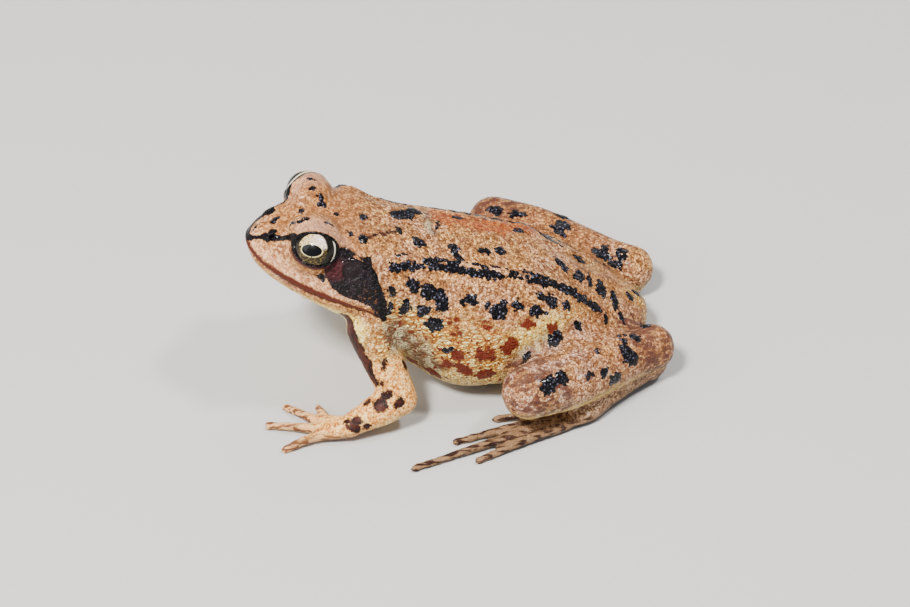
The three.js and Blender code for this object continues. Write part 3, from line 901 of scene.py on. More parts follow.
side_spots = [
    (12.2, 29.3, 4.9, 1.7, 0.85, -50), (12.9, 32.6, 4.1, 1.6, 1.3, -15),
    (13.2, 34.6, 4.1, 1.5, 1.3, 20), (13.8, 35.5, 2.7, 1.1, 1.3, 0), (14.5, 32.9, 1, 1.2, 1.1, 0),
    (15.5, 35.2, -0.7, 1.6, 1.25, 0), (13.4, 40.9, 4.1, 1.3, 0.95, 15),
    (13.8, 39.5, 3.5, 0.7, 0.5, 0), (13.3, 47.2, 4.6, 0.8, 0.8, 0), (14.2, 46.4, 3.2, 1.6, 1.4, 30),
    (13.6, 44.2, 4.1, 0.5, 0.4, 0), (13, 50.5, 4.5, 0.95, 1.1, 40), (12.8, 53.8, 4, 1.3, 1, 20),
    (12.6, 55.8, 3.4, 0.45, 0.35, 0), (10.7, 54.8, 5.3, 1, 0.8, -15),
    (10.7, 57.1, 4.7, 1.3, 1.2, 20), (10.2, 60.3, 4, 0.8, 0.7, 30), (13.4, 25.8, 2.8, 0.6, 1.05, 0),
    (14, 26.5, -0.2, 0.5, 1.5, 0), (14.1, 28.9, 0.6, 0.75, 1.5, 0), (17, 39, -5.4, 0.9, 0.5, 40),
    (9.4, 69.4, 1.6, 0.4, 1.3, 0), (7.6, 73.2, 0.8, 0.45, 1.4, 10),
]
rust_spots = [
    (18.1, 46.1, -4, 1.5, 1, 10), (17.6, 50.3, -1.6, 1, 1.5, -35), (18.4, 47.2, -8.3, 1.5, 0.9, 25),
    (17.8, 43.4, -8.8, 1.7, 1, -20), (14.3, 39, -13.2, 1.6, 1.1, -15), (13, 35, -12.6, 1, 0.7, 0),
    (16.8, 41.4, -5.9, 0.9, 0.8, 0), (16.4, 39.3, -1.3, 0.6, 0.5, 30),
    (15.5, 38.2, 0.4, 0.6, 0.4, 0), (15.2, 53.1, 2.4, 0.9, 0.4, 20), (17.1, 40.1, -8.6, 0.6, 1, 0),
    (15.8, 44.6, 1, 0.35, 0.3, 0), (13.9, 57.5, 1.9, 1.2, 0.5, 15),
]
# limb, share of its length, angle round it (90 is over), half-length, half-width, turn
left_limb_spots = [
    ("shank", 0.69, 128, 1.35, 1.9, 0), ("shank", 0.72, 148, 1.1, 1, 0),
    ("shank", 0.47, 146, 0.8, 0.75, 0), ("shank", 0.83, 92, 0.65, 1.3, 0),
    ("shank", 0.72, 92, 0.4, 0.5, 0), ("shank", 0.76, 74, 0.9, 0.35, 0),
    ("shank", 0.97, 66, 0.6, 0.9, 0), ("shank", 0.49, 100, 0.6, 0.5, 20),
    ("shank", 0.04, 136, 1.7, 1.3, 30), ("shank", 0.13, 128, 1.3, 1.1, 20),
    ("shank", 0.34, 143, 0.7, 0.45, 0), ("shank", 0.55, 170, 1.4, 1, 0),
    ("thigh", 0.6, 118, 1.9, 0.85, 10), ("thigh", 0.86, 140, 2.6, 0.8, 8),
    ("thigh", 0.4, 105, 1, 0.7, 0),
]
right_limb_spots = [
    ("shank", 0.03, 112, 1.3, 0.8, 0), ("shank", 0.18, 108, 1.5, 0.7, 10),
    ("shank", 0.45, 62, 1.6, 0.8, 0), ("shank", 0.5, 97, 1.3, 1.1, 0),
    ("shank", 0.94, 112, 1.1, 1.1, 0), ("shank", 0.82, 112, 0.5, 0.5, 0),
    ("thigh", 0.19, 160, 1.7, 1, 20), ("thigh", 0.04, 165, 1.2, 1, 30),
    ("thigh", 0.5, 120, 2, 0.6, 0),
]
arm_spots = [
    ("upper_arm", 0.44, 76, 0.45, 0.4, 0), ("upper_arm", 0.52, 88, 0.35, 0.3, 0),
    ("upper_arm", 0.62, 12, 0.9, 0.5, 0), ("upper_arm", 0.69, 114, 0.35, 0.4, 0),
    ("upper_arm", 0.86, 100, 0.5, 0.4, 0), ("upper_arm", 0.97, 84, 0.3, 0.25, 0),
    ("forearm", 0.19, 76, 0.75, 0.7, 0), ("forearm", 0.33, 55, 1.2, 1.25, 0),
    ("forearm", 0.06, 30, 1.1, 0.6, 20), ("forearm", 0.78, 51, 0.9, 0.7, 0),
    ("forearm", 0.86, 32, 0.8, 0.9, 0), ("forearm", 0.68, 14, 0.55, 0.5, 0),
    ("forearm", 0.5, 100, 0.7, 0.4, 0), ("forearm", 0.95, 70, 0.5, 0.8, 0),
]
# bands: across, along, up and half-width; below nothing the band is broken
fold_band = [
    (11, 24.6, 6.2, 0.45), (10.7, 25.6, 6.6, 0.95), (9.9, 28, 6.9, 0.75), (9.5, 30.8, 7, 0.7),
    (9.5, 31.5, 7, -0.2), (9.3, 32.3, 7.2, 0.65), (8.8, 38, 7.4, 0.85), (8.6, 44, 7.4, 0.95),
    (8.4, 46.5, 7.5, 0.6), (8.2, 47.3, 7.4, -0.2), (8.1, 48.2, 7.4, 0.6), (8, 49.6, 7.3, 0.5),
    (7.9, 50.7, 7.2, 0.3), (7.7, 54.9, 6.8, 0.7), (7.1, 60.4, 6, 0.95), (7.8, 63.5, 5.2, 1.1),
    (8.1, 65.3, 4.6, 0.75), (8.3, 66.9, 4, 1.15), (8.3, 68.6, 3.4, 0.2),
]
fold_line = [
    (8.7, 30.6, 7.8, 0.15), (8.4, 32.5, 7.9, 0.4), (7.8, 35.5, 8, 0.18), (7.35, 41, 8, 0.12),
    (7.25, 46.5, 7.9, 0.1), (7.1, 50, 7.8, -0.1), (6.9, 51.5, 7.7, 0.25), (6.7, 54, 7.4, 0.2),
    (6.4, 57, 7, -0.1),
]
pale_line = [
    (8.3, 31.2, 7.9), (7.85, 38, 7.9), (7.85, 44.5, 7.8), (7.45, 51, 7.5), (6.9, 56, 6.9),
    (6.4, 61, 6.2),
]
mask_rear = [
    (12.1, 21, 6.9, 0.35), (12.6, 22.2, 4.9, 0.5), (13.2, 23.6, 2.7, 0.65), (13.7, 25, 0.2, 0.8),
    (13.9, 25.8, -1.8, 0.7), (13.5, 26, -3, 0.5),
]
nose_band = [
    (0.6, 0.25, 0.3, 0.65), (1.4, 0.45, 0.7, 0.55), (2.2, 1.2, 1.5, 0.25), (2.9, 2, 2.5, 0.45),
    (3.9, 3.4, 3.5, 1.35), (4.5, 4.1, 4, 0.5), (5.6, 5.1, 5.1, 0.4), (6.9, 6, 6.4, 0.8),
    (7.9, 6.5, 6.9, 1.3),
]
# share of the upper arm's length and half-width of the dark band on its front
arm_band_widths = [
    (-0.3, 0.6), (-0.1, 1.3), (0.15, 1.6), (0.4, 1.3), (0.6, 0.8), (0.75, -0.1),
]
eye_to_mask = [(11.4, 13.6, 7.6, 0.9), (11.9, 15, 7.6, 0.7), (12, 17, 7.6, 0.5)]
brow_line = [(2.4, 26.2, 9.1, 0.3), (4.6, 22.8, 9, 0.36), (6.4, 19.6, 8.8, 0.3)]
# along and up of the dark patch behind the eye, seen from the side
mask_outline = [
    (13.2, 8.3), (16.3, 7.9), (18.6, 7.6), (20.7, 7.8), (21.3, 6.2), (22.9, 4.4), (24.6, 2.4),
    (26, -0.8), (26.5, -3.2), (24.2, -2.5), (22.9, -0.9), (20, -0.2), (17.1, 0), (14.9, 1),
    (13.4, 2.6), (12.4, 4.4),
]

# %% Distances to spots, bands and outlines


def limb_point(side, limb, share, angle):
    """A point on a limb's skin, and the limb's own direction, both in across, along and up."""
    line = limb_lines[side][limb]
    start, end = np.array(line[0], float), np.array(line[-1], float)
    ahead = (end - start) / np.linalg.norm(end - start)
    wide = np.cross(limb_facing(limb), ahead)
    wide /= np.linalg.norm(wide)
    profile = np.array(limb_profiles[limb])
    held = np.clip(share, 0, 1)
    half = [smooth_values(profile[:, 0], profile[:, k], held) for k in (1, 2)]
    turn = math.radians(angle)
    middle = start + share * (end - start)
    over = np.cross(ahead, wide)
    point = middle + wide * half[0] * math.cos(turn) + over * half[1] * math.sin(turn)
    return tuple(np.ravel(body_places(at[None, :])) for at in (point, snout_tip + ahead))


far = 9.0  # the distance kept where a mark is nowhere near


def spot_edge(places, normals, point, ahead, half_long, half_wide, turn):
    """Distance to one oval, negative inside: r * (1 - 1 / e), where e is 1 on the oval's edge."""
    middle, normal = places[point], normals[point]
    ahead = ahead - normal * (normal @ ahead)
    ahead = ahead / np.linalg.norm(ahead)
    over = np.cross(normal, ahead)
    if middle[0] < -6 and abs(normal[0]) > 0.5:  # the right flank mirrors the left one
        over = -over
    offset = places - middle
    x, y = offset @ ahead, offset @ over
    cos, sin = math.cos(math.radians(turn)), math.sin(math.radians(turn))
    x, y = x * cos + y * sin, y * cos - x * sin
    e = np.hypot(x / half_long, y / half_wide)
    edge = np.maximum(np.hypot(x, y) * (1 - 1 / np.maximum(e, 1e-3)), -min(half_long, half_wide))
    behind = (normals @ normal < 0) | (np.abs(offset @ normal) > 3)
    return np.where(behind, far, edge)


def body_spot_edges(places, normals, spots, side=1):
    """Distance to the nearest of a list of spots on head and trunk; side -1 mirrors them."""
    nearest = np.full(len(places), far)
    for across, along, up, half_long, half_wide, turn in spots:
        point = on_skin(places, (side * across, along, up))
        edge = spot_edge(places, normals, point, np.array([0.0, 1, 0]), half_long, half_wide, turn)
        nearest = np.minimum(nearest, edge)
    return nearest


def limb_spot_edges(places, normals, side, spots):
    """Distance to the nearest of a list of spots on limbs. The right arm's angles are mirrored."""
    nearest = np.full(len(places), far)
    for limb, share, angle, half_long, half_wide, turn in spots:
        if side == "right" and limb in ("upper_arm", "forearm"):
            angle = (360 if limb == "upper_arm" else 180) - angle
        place, ahead = limb_point(side, limb, share, angle)
        edge = spot_edge(places, normals, on_skin(places, place), ahead, half_long, half_wide, turn)
        nearest = np.minimum(nearest, edge)
    return nearest


def band_edge(places, rows, side=1):
    """Distance to a band of changing width drawn over the skin, negative inside."""
    rows = np.array(rows, float)
    distance, share = path_distance(places, rows[:, :3] * (side, 1, 1), steps=3 * len(rows))
    return distance - np.interp(share * (len(rows) - 1), np.arange(len(rows)), rows[:, 3])


def outline_edge(flat, outline):
    """Distance to a closed outline in a plane, negative inside."""
    outline = np.array(outline, float)
    nearest, inside = np.full(len(flat), far), np.zeros(len(flat), bool)
    for start, end in zip(outline, np.roll(outline, -1, axis=0)):
        step = end - start
        t = np.clip(((flat - start) @ step) / (step @ step), 0, 1)
        nearest = np.minimum(nearest, np.linalg.norm(flat - start - t[:, None] * step, axis=1))
        spans = (start[1] > flat[:, 1]) != (end[1] > flat[:, 1])
        crossing = start[0] + (flat[:, 1] - start[1]) * step[0] / (step[1] or 1e-9)
        inside ^= spans & (flat[:, 0] < crossing)
    return np.where(inside, -nearest, nearest)


# %% Dark marks of the back, the flanks and the limbs
# growths and thinnings: by how many millimetres a kind of mark is drawn larger or smaller all round
black_growth, brown_growth, rust_growth = 0.22, 0.3, 0.5
limb_spot_growth, head_spot_growth, line_growth = 0.12, 0.05, 0.08
band_thinning, brow_thinning = 0.18, 0.25
# the right shoulder's fold lies further out and lower, and its arm's band on the mirrored side
fold_shift = {1: (0, 0, 0, 0), -1: (2.4, 0, -1.4, 0)}
arm_band_angle = {1: 140, -1: 220}
limb_spot_lists = {1: left_limb_spots, -1: right_limb_spots}
places, normals = skin_state(skin_mesh)
across, along, up = places.T
brown = band_edge(places, brow_line) + brow_thinning
rust = np.full(len(places), far)
black_list = [
    np.full(len(places), far), body_spot_edges(places, normals, back_spots),
    body_spot_edges(places, normals, head_spots) - head_spot_growth,
    band_edge(places, fold_line) - line_growth]
for side, side_name in side_names.items():
    black_list.append(body_spot_edges(places, normals, side_spots, side))
    fold = np.array(fold_band, float) + fold_shift[side]
    black_list.append(band_edge(places, fold, side) + band_thinning)
    on_limbs = limb_spot_edges(places, normals, side_name, limb_spot_lists[side])
    black_list.append(on_limbs - limb_spot_growth)
    rust = np.minimum(rust, body_spot_edges(places, normals, rust_spots, side))
    arm_band = [
        (*limb_point(side_name, "upper_arm", share, arm_band_angle[side])[0], half)
        for share, half in arm_band_widths]
    on_arm = limb_spot_edges(places, normals, side_name, arm_spots)
    brown = np.minimum.reduce([brown, on_arm, band_edge(places, arm_band)])
black = np.minimum.reduce(black_list) - black_growth
rust = rust - rust_growth
brown = np.minimum(brown, far) - brown_growth

# %% The mask, and the black lines round the eyes, over the nose and behind the mask
lid_line_at, lid_line_half, lid_line_thinning = 0.1, 0.26, 0.14
nose_growth = {1: 0, -1: 0.35}
mask_list, edge_list = [np.full(len(places), far)], [np.full(len(places), far)]
rim_of, eye_reach = {}, {}
for side in side_names:
    eye_reach[side], rim_of[side] = eye_offset(places, side)
    lid_line = np.abs(rim_of[side] - lid_line_at) - lid_line_half
    lid_line += lid_line_thinning * (1 - ramp(up, eye_centre[2] - 1.6, eye_centre[2] - 0.4))
    lid_line = np.where(eye_reach[side] < 5.6, lid_line, far)
    patch = outline_edge(places[:, 1:], mask_outline)
    patch = np.where((across * side > 7.5) & (normals[:, 0] * side > 0.25), patch, far)
    nose = band_edge(places, nose_band, side) - nose_growth[side]
    mask_list += [lid_line, patch, nose, band_edge(places, eye_to_mask, side)]
    edge_list += [lid_line, nose, band_edge(places, mask_rear, side)]
mask, edges_black = np.minimum.reduce(mask_list), np.minimum.reduce(edge_list)
for name, edge in (("black", black), ("mask", mask), ("brown", brown), ("rust", rust)):
    print(name, "over", round(100 * np.mean(edge < 0), 1), "% of the points")

# %% Soft tints of the limbs
arm_radii = {"upper_arm": 5, "forearm": 4.6, "palm": 4.6}
leg_radii = {"thigh": 8, "shank": 7.4, "tarsus": 4.6}
joint_radii = (6.4, 9.2)  # full within the first, gone past the second
world_normals = read_normals(skin_mesh)
world_points = read_points(skin_mesh)
off_centre = np.abs(world_points[:, 0])
forward, above_floor = -world_points[:, 1], world_points[:, 2]


def limb_share(radii):
    """1 within these distances of the limbs' lines on both sides, and 0 past them."""
    shares = []
    for side_name in limb_lines:
        for limb, radius in radii.items():
            line = np.stack(limb_lines[side_name][limb])
            distance = path_distance(world_points, line, laid_on=False, steps=2)[0]
            shares.append(1 - ramp(distance, radius - 1, radius + 0.6))
    return np.maximum.reduce(shares)


arm = limb_share(arm_radii)
arm *= ramp(17 - above_floor, 0, 2.5)
arm = np.maximum(arm, (above_floor < 2.6) * (forward > 16))
leg = limb_share(leg_radii)
foot = (off_centre > 17) * (1 - ramp(above_floor, 4, 6)) * (forward < 14)
trunk_only = (1 - leg) * (1 - arm) * (1 - foot)
leg_tint = np.maximum(leg * (across > 0) * (1 - 0.8 * ramp(along, 60, 68)), foot)
digit = (1 - ramp(above_floor, 1.8, 3.4)) * (off_centre > 11)
near_joint = {}
for side_name in limb_lines:
    for bone_end, middle in zip(("knee", "heel"), limb_lines[side_name]["shank"]):
        from_joint = np.linalg.norm(world_points - middle, axis=1)
        near_joint[side_name, bone_end] = 1 - ramp(from_joint, *joint_radii)
# the right heel gets no joint tint, so it stays lighter: a painted highlight
joint = np.maximum.reduce([near_joint[place] for place in near_joint if place != ("right", "heel")])
print("limbs over", round(100 * np.mean(np.maximum(arm, leg) > 0.5)), "% of the points")

# %% Soft tints of the head
over_mouth = mouth_height(places)
beside = np.sqrt(np.clip(1 - normals[:, 2] ** 2, 0, 1))
head = 1 - ramp(along, 22, 25)
# half the mouth line's width from the snout's tip to its corner
mouth_half = np.interp(along, (0, 3, 8, 14, 20, 25), (0.75, 0.65, 0.85, 0.85, 0.5, 0.2))
mouth = np.abs(over_mouth - 0.6) - mouth_half
mouth = np.where((beside > 0.3) & (along < 25.5), mouth, far)
lip = ramp(over_mouth, 1.1, 1.8) * (1 - ramp(over_mouth, 2.2, 4.4)) * beside * head
throat = (1 - ramp(over_mouth, -2.4, -0.8)) * head * (1 - arm)
eye_corner = np.array([12, 14.2, 4.6])
maroon, lids, drum = (np.zeros(len(places)) for _ in range(3))
for side in side_names:
    mirror = np.array([side, 1, 1])
    rim, distance = rim_of[side], eye_reach[side]
    low_lid = (1 - ramp(rim, 0.5, 1.6)) * (distance < 6.5)
    low_lid *= 1 - ramp(up, eye_centre[2] - 1, eye_centre[2] + 0.8)
    from_corner = np.linalg.norm(places - eye_corner * mirror, axis=1)
    behind = (1 - ramp(from_corner, 1.4, 3)) * ramp(-mask, -0.2, 0.3)
    maroon = np.maximum.reduce([maroon, low_lid, behind])
    upper_lid = (1 - ramp(distance, 5.2, 7)) * ramp(rim, 0.2, 0.6) * (1 - ramp(rim, 2.4, 4))
    lids = np.maximum(lids, upper_lid * ramp(up, 7, 9))
    to_drum = np.linalg.norm(places - np.array(eardrum_place) * mirror, axis=1)
    drum = np.maximum(drum, 1 - ramp(to_drum, eardrum_radius - 0.4, eardrum_radius - 0.1))
print("lips over", round(100 * np.mean(lip > 0.5), 1), "% of the points")

# %% Soft tints of the body
flank_seed, grey_seed, wash_seed = 11, 29, 23
hip_path = [(17.6, 49.5, -1.8), (15.6, 54, 1), (13.6, 58, 2.4)]
armpit_path = np.array([(14.4, 29, -5.4), (15, 32.6, -7.4), (15, 37.6, -11.6)])
wash_path = [
    (-4.6, 37, 8.8), (-5.3, 42, 8.6), (-5, 46.5, 8.4), (-7.4, 50.5, 7.4), (-9.3, 54.8, 6.2)]
smudge_path = [(-4.4, 32.6, 8.9), (-1, 32.8, 9.2), (1.4, 33.5, 9.1)]
thigh_path = [(14.8, 58.5, 1), (16.4, 56, -1.2), (17.8, 53.2, -4)]
flank_top = np.interp(along, (22, 26, 34, 50, 60, 70), (4, 4, 2.5, 3, 5.5, 5))
over_flank = up - flank_top + 1.2 * noise(places, 4, flank_seed)
flank = ramp(along, 23, 28) * (1 - ramp(over_flank, -5, 1)) * trunk_only
crown = (1 - ramp(along, 17, 25)) * ramp(normals[:, 2], 0.55, 0.9) * ramp(along, 2, 5)
rump = 0.7 * ramp(along, 58, 66) * ramp(up, -2, 2)
# the umber leaves out the right heel, so it stays lighter: a painted highlight
crown = np.maximum.reduce([crown, leg * (across < 0), rump]) * (1 - near_joint["right", "heel"])
downward = 1 - ramp(world_normals[:, 2], -0.75, -0.05)
under = downward * (1 - digit) * (1 - head * ramp(over_mouth, -1.2, 0))
low_trunk = ramp(along, 24, 28) * (1 - ramp(up, -15, -5)) * trunk_only
from_hip = path_distance(places, hip_path)[0]
belly = np.maximum.reduce([under, throat, low_trunk, 0.75 * (1 - ramp(from_hip, 0.8, 3))])
from_armpit = np.minimum(*(
    path_distance(places, armpit_path * (side, 1, 1))[0] for side in side_names))
from_armpit = from_armpit + 1.2 * noise(places, 2.4, grey_seed)
smudge = 0.9 * (1 - ramp(path_distance(places, smudge_path)[0], 0.3, 1.3))
thigh_shade = 0.7 * (1 - ramp(path_distance(places, thigh_path)[0], 0.6, 2))
grey = np.maximum.reduce([1 - ramp(from_armpit, 1.6, 4.4), smudge, thigh_shade])
from_wash = path_distance(places, wash_path)[0] + 1.5 * noise(places, 2.2, wash_seed)
wash = 1 - ramp(from_wash, 1.6, 4.2)
from_ridge = np.minimum(*(
    path_distance(places, np.array(pale_line) * (side, 1, 1))[0] for side in side_names))
ridge = (1 - ramp(from_ridge, 0, 0.3)) * ramp(along, 29, 33) * (1 - ramp(along, 54, 60))
ember = ramp(along - 0.6 * up, 17, 21)
rough = 1 - 0.75 * head * (1 - ramp(along, 14, 24)) - 0.5 * arm - 0.4 * belly * (1 - flank)
print("flanks over", round(100 * np.mean(flank > 0.5)), "% of the points")

# %% Keep the marks with the skin's points


def keep(mesh, name, values):
    attribute = mesh.attributes.new(name, "FLOAT", "POINT")
    attribute.data.foreach_set("value", np.asarray(values, np.float32))


skin_marks = {
    "black": black, "mask": mask, "brown": brown, "rust": rust, "mouth": mouth, "lip": lip,
    "flank": flank, "belly": belly, "grey": grey, "wash": wash, "maroon": maroon, "lids": lids,
    "ridge": ridge, "arm": arm, "joint": joint, "drum": drum, "leg": leg_tint, "digit": digit,
    "rough": np.clip(rough, 0, 1), "edges": edges_black, "crown": crown, "foot": foot,
    "ember": ember}
for name, values in skin_marks.items():
    keep(skin_mesh, name, values)
print(len(skin_marks), "marks kept")
points = read_points(skin_mesh)
wart_rise = 0.2
wart_height = wart_rise * ramp(-black, -0.1, 0.5) * (1 + 0.5 * noise(places, 0.9, wart_seed))
points += wart_height[:, None] * read_normals(skin_mesh)
points[:, 2] = np.maximum(points[:, 2], 0)
write_points(skin_mesh, points)

# %% [markdown]
# ## The eyeballs
# Each eye is a ball of its own behind the lids. It is drawn in rings round the direction
# it looks in, and each point keeps how far it lies from that direction, ahead and above,
# in millimetres over the ball. The iris and the pupil are painted from those two numbers.
# The eyes are turned on their own: the right one looks further to its side than the left.

# %% Eyeballs
gaze_rise = {1: math.radians(24), -1: math.radians(23)}
gaze_forward = {1: math.radians(29), -1: math.radians(8)}
eye_rings, eye_sides = 65, 128


def eyeball(name, side):
    """Rings: centre + radius * (cos a * gaze + sin a * (cos t * ahead + sin t * up)).
    Gives the ball, each point's way from the gaze ahead and up, and its way from the lids' rim."""
    outward, ahead, above = eye_axes(side, gaze_rise[side], gaze_forward[side])
    angle = np.linspace(0, math.pi, eye_rings)[1:-1, None, None]
    turn = (np.arange(eye_sides) * (2 * math.pi / eye_sides))[None, :, None]
    rings = np.cos(angle) * outward + np.sin(angle) * (np.cos(turn) * ahead + np.sin(turn) * above)
    directions = np.vstack([outward, rings.reshape(-1, 3), -outward])
    over = np.arccos(np.clip(directions @ outward, -1, 1)) * eye_radius
    flat = np.stack([directions @ ahead, directions @ above], -1)
    flat *= over[:, None] / np.maximum(np.linalg.norm(flat, axis=1, keepdims=True), 1e-9)
    centre = eye_centre * (side, 1, 1)
    points = body_point(*(centre + eye_radius * directions).T)
    rings_of_quads = quads_between(eye_rings - 2, eye_sides, 1)
    here = np.arange(eye_sides)
    after = (here + 1) % eye_sides
    last = len(points) - 1
    last_ring = last - eye_sides
    front = np.stack([np.zeros_like(here), 1 + here, 1 + after], -1)
    back = np.stack([here + last_ring, np.full_like(here, last), after + last_ring], -1)
    faces = rings_of_quads[:, ::-1].tolist() + front.tolist() + back.tolist()
    if side < 0:
        faces = [face[::-1] for face in faces]
    return new_piece(name, points, faces), flat, rim_distance(directions, side)


def new_piece(name, points, faces):
    """A smooth-shaded mesh whose points, in millimetres, are stored in metres in the frame."""
    mesh = bpy.data.meshes.new(name)
    mesh.from_pydata(((points + shift) * millimetre).tolist(), [], faces)
    mesh.shade_smooth()
    piece = bpy.data.objects.new(name, mesh)
    bpy.context.collection.objects.link(piece)
    return piece


# the pale crescent: on the left eye by its way from the gaze, on the right by that from the rim
eyeballs = {}
for side, side_name in side_names.items():
    eyeballs[side_name], gaze, rim = eyeball("eyeball_" + side_name, side)
    attribute = eyeballs[side_name].data.attributes.new("gaze", "FLOAT_VECTOR", "POINT")
    flat_gaze = np.column_stack([gaze, np.zeros(len(gaze))]).astype(np.float32)
    attribute.data.foreach_set("vector", flat_gaze.ravel())
    from_gaze = np.linalg.norm(gaze, axis=1)
    if side > 0:
        pale = ramp(-gaze[:, 0], 1.8, 3.2)
        pale *= ramp(from_gaze, 4.7, 4.9) * (1 - ramp(from_gaze, 5.15, 5.35))
    else:
        pale = 0.8 * ramp(gaze[:, 1], 0, 0.8)
        pale *= ramp(rim, -1.05, -0.95) * (1 - ramp(rim, -0.65, -0.55))
    keep(eyeballs[side_name].data, "pale", pale)
print("eyeballs:", len(eyeballs["left"].data.polygons), "faces each")

# %% [markdown]
# ## Building materials from small parts
# Both materials are built from the same few steps, and a step used more than once is a
# node group with named sockets. Everything is worked out from the point's place in the
# model and from the marks kept with it, so nothing here depends on a picture.

# %% Small helpers for node trees


def put(tree, kind, inputs, **settings):
    """A node with its settings made, and its inputs given a value or linked from another socket."""
    node = tree.nodes.new(kind)
    for name, value in settings.items():
        setattr(node, name, value)
    for key, value in inputs.items():
        if isinstance(value, bpy.types.NodeSocket):
            tree.links.new(value, node.inputs[key])
        else:
            node.inputs[key].default_value = value
    return node


def calc(tree, operation, a, b=0.0, c=0.0):
    return put(tree, "ShaderNodeMath", {0: a, 1: b, 2: c}, operation=operation).outputs[0]


def times(tree, a, b):
    return calc(tree, "MULTIPLY", a, b)


def opposite(tree, share):
    """1 where the share is 0, and 0 where it is 1."""
    return calc(tree, "SUBTRACT", 1.0, share)


def opaque(colour):
    """Red, green and blue with nothing see-through. A socket is passed on as it is."""
    return colour if isinstance(colour, bpy.types.NodeSocket) else (*colour, 1)


def blend(tree, share, below, above):
    """One colour over another, where the share is 1."""
    inputs = {0: share, 6: opaque(below), 7: opaque(above)}
    return put(tree, "ShaderNodeMix", inputs, data_type="RGBA").outputs[2]


def soft_step(tree, value, start, end):
    """0 below start, 1 above end, smooth between. With start above end it falls instead."""
    inputs = {0: value, 1: start, 2: end}
    return put(tree, "ShaderNodeMapRange", inputs, interpolation_type="SMOOTHSTEP").outputs[0]


def speckle(tree, place, scale, detail=2.0):
    """Cloudy noise from 0 to 1: scale counts clouds in a millimetre, detail the finer layers."""
    inputs = {"Vector": place, "Scale": scale, "Detail": detail}
    return put(tree, "ShaderNodeTexNoise", inputs).outputs[0]


def stretched(tree, place, amounts):
    """The place times an amount for each axis, which makes a pattern finer along that axis."""
    inputs = {0: place, 1: amounts}
    return put(tree, "ShaderNodeVectorMath", inputs, operation="MULTIPLY").outputs[0]


def kept(tree, name):
    """One of the marks that were kept with the mesh's points."""
    return put(tree, "ShaderNodeAttribute", {}, attribute_name=name).outputs["Fac"]


def new_group(name, inputs, outputs):
    """An empty node group with named sockets, and its two end nodes."""
    tree = bpy.data.node_groups.new(name, "ShaderNodeTree")
    for names, in_out in ((inputs, "INPUT"), (outputs, "OUTPUT")):
        for socket_name, kind in names.items():
            tree.interface.new_socket(socket_name, in_out=in_out, socket_type="NodeSocket" + kind)
    return tree, tree.nodes.new("NodeGroupInput").outputs, tree.nodes.new("NodeGroupOutput").inputs


def use(tree, group, inputs):
    return put(tree, "ShaderNodeGroup", inputs, node_tree=group).outputs


# %% Group: a mark with a ragged edge
sockets_in = {"Below": "Color", "Mark": "Color"}
sockets_in.update({name: "Float" for name in ("Edge", "Soft", "Ragged", "Noise")})
sockets_out = {"Color": "Color", "Mask": "Float"}
ragged_mark, group_in, group_out = new_group("ragged_mark", sockets_in, sockets_out)
swing = calc(ragged_mark, "SUBTRACT", group_in["Noise"], 0.5)
moved = calc(ragged_mark, "MULTIPLY_ADD", swing, group_in["Ragged"], group_in["Edge"])
inside = calc(ragged_mark, "DIVIDE", moved, group_in["Soft"])
inside = opposite(ragged_mark, soft_step(ragged_mark, inside, -1.0, 1.0))
ragged_mark.links.new(inside, group_out["Mask"])
marked = blend(ragged_mark, inside, group_in["Below"], group_in["Mark"])
ragged_mark.links.new(marked, group_out["Color"])

# %% Group: granules
granules, group_in, group_out = new_group(
    "granules", {"Place": "Vector", "Scale": "Float"},
    {name: "Float" for name in ("Height", "Crack", "Tone", "Far")})
wobble = {"Vector": group_in["Place"], "Scale": 1.1, "Detail": 1.0}
wobble = put(granules, "ShaderNodeTexNoise", wobble).outputs["Color"]
bent = {0: wobble, 1: (0.7, 0.7, 0.7), 2: group_in["Place"]}
bent = put(granules, "ShaderNodeVectorMath", bent, operation="MULTIPLY_ADD").outputs[0]
at_cells = {"Vector": bent, "Scale": group_in["Scale"]}
cell = put(granules, "ShaderNodeTexVoronoi", at_cells).outputs
crack = put(granules, "ShaderNodeTexVoronoi", at_cells, feature="DISTANCE_TO_EDGE").outputs[0]
dome = opposite(granules, calc(granules, "POWER", cell["Distance"], 2.0))
dome = times(granules, dome, soft_step(granules, crack, 0.0, 0.25))
granules.links.new(dome, group_out["Height"])
granules.links.new(opposite(granules, soft_step(granules, crack, 0.0, 0.16)), group_out["Crack"])
tone = put(granules, "ShaderNodeSeparateColor", {0: cell["Color"]}).outputs[0]
granules.links.new(tone, group_out["Tone"])
granules.links.new(cell["Distance"], group_out["Far"])

# %% [markdown]
# ## The skin's material
# The ground is a warm tan, broken up by granules. The dark in the cracks between them is
# painted shade, and the pink on the granules is partly painted highlight. Over it the soft
# tints are laid first: yellow flanks, pale belly, pale lips and lids. Then come the marks
# with edges, ending with the black spots, which are shiny warts with painted glints on
# their beads. Last, a clear coat makes it all wet.

# %% Skin material
skin_material = bpy.data.materials.new("frog_skin")
skin_material.use_nodes = True
tree = skin_material.node_tree
skin_shader = tree.nodes["Principled BSDF"]
to_millimetres = (1000.0, 1000.0, 1000.0)
place = stretched(tree, put(tree, "ShaderNodeTexCoord", {}).outputs["Object"], to_millimetres)
fine = speckle(tree, place, 2.4, 3.0)
middle = speckle(tree, place, 0.75)
wide = speckle(tree, place, 0.22)
back_grain = use(tree, granules, {"Place": place, "Scale": 1.7})
flank_place = stretched(tree, place, (1.0, 0.45, 1.35))
flank_grain = use(tree, granules, {"Place": flank_place, "Scale": 1.25})
wart_grain = use(tree, granules, {"Place": place, "Scale": 1.0})
fleck_grain = use(tree, granules, {"Place": place, "Scale": 1.9})
rough_skin, flank_skin = kept(tree, "rough"), kept(tree, "flank")
leg_skin, arm_skin = kept(tree, "leg"), kept(tree, "arm")


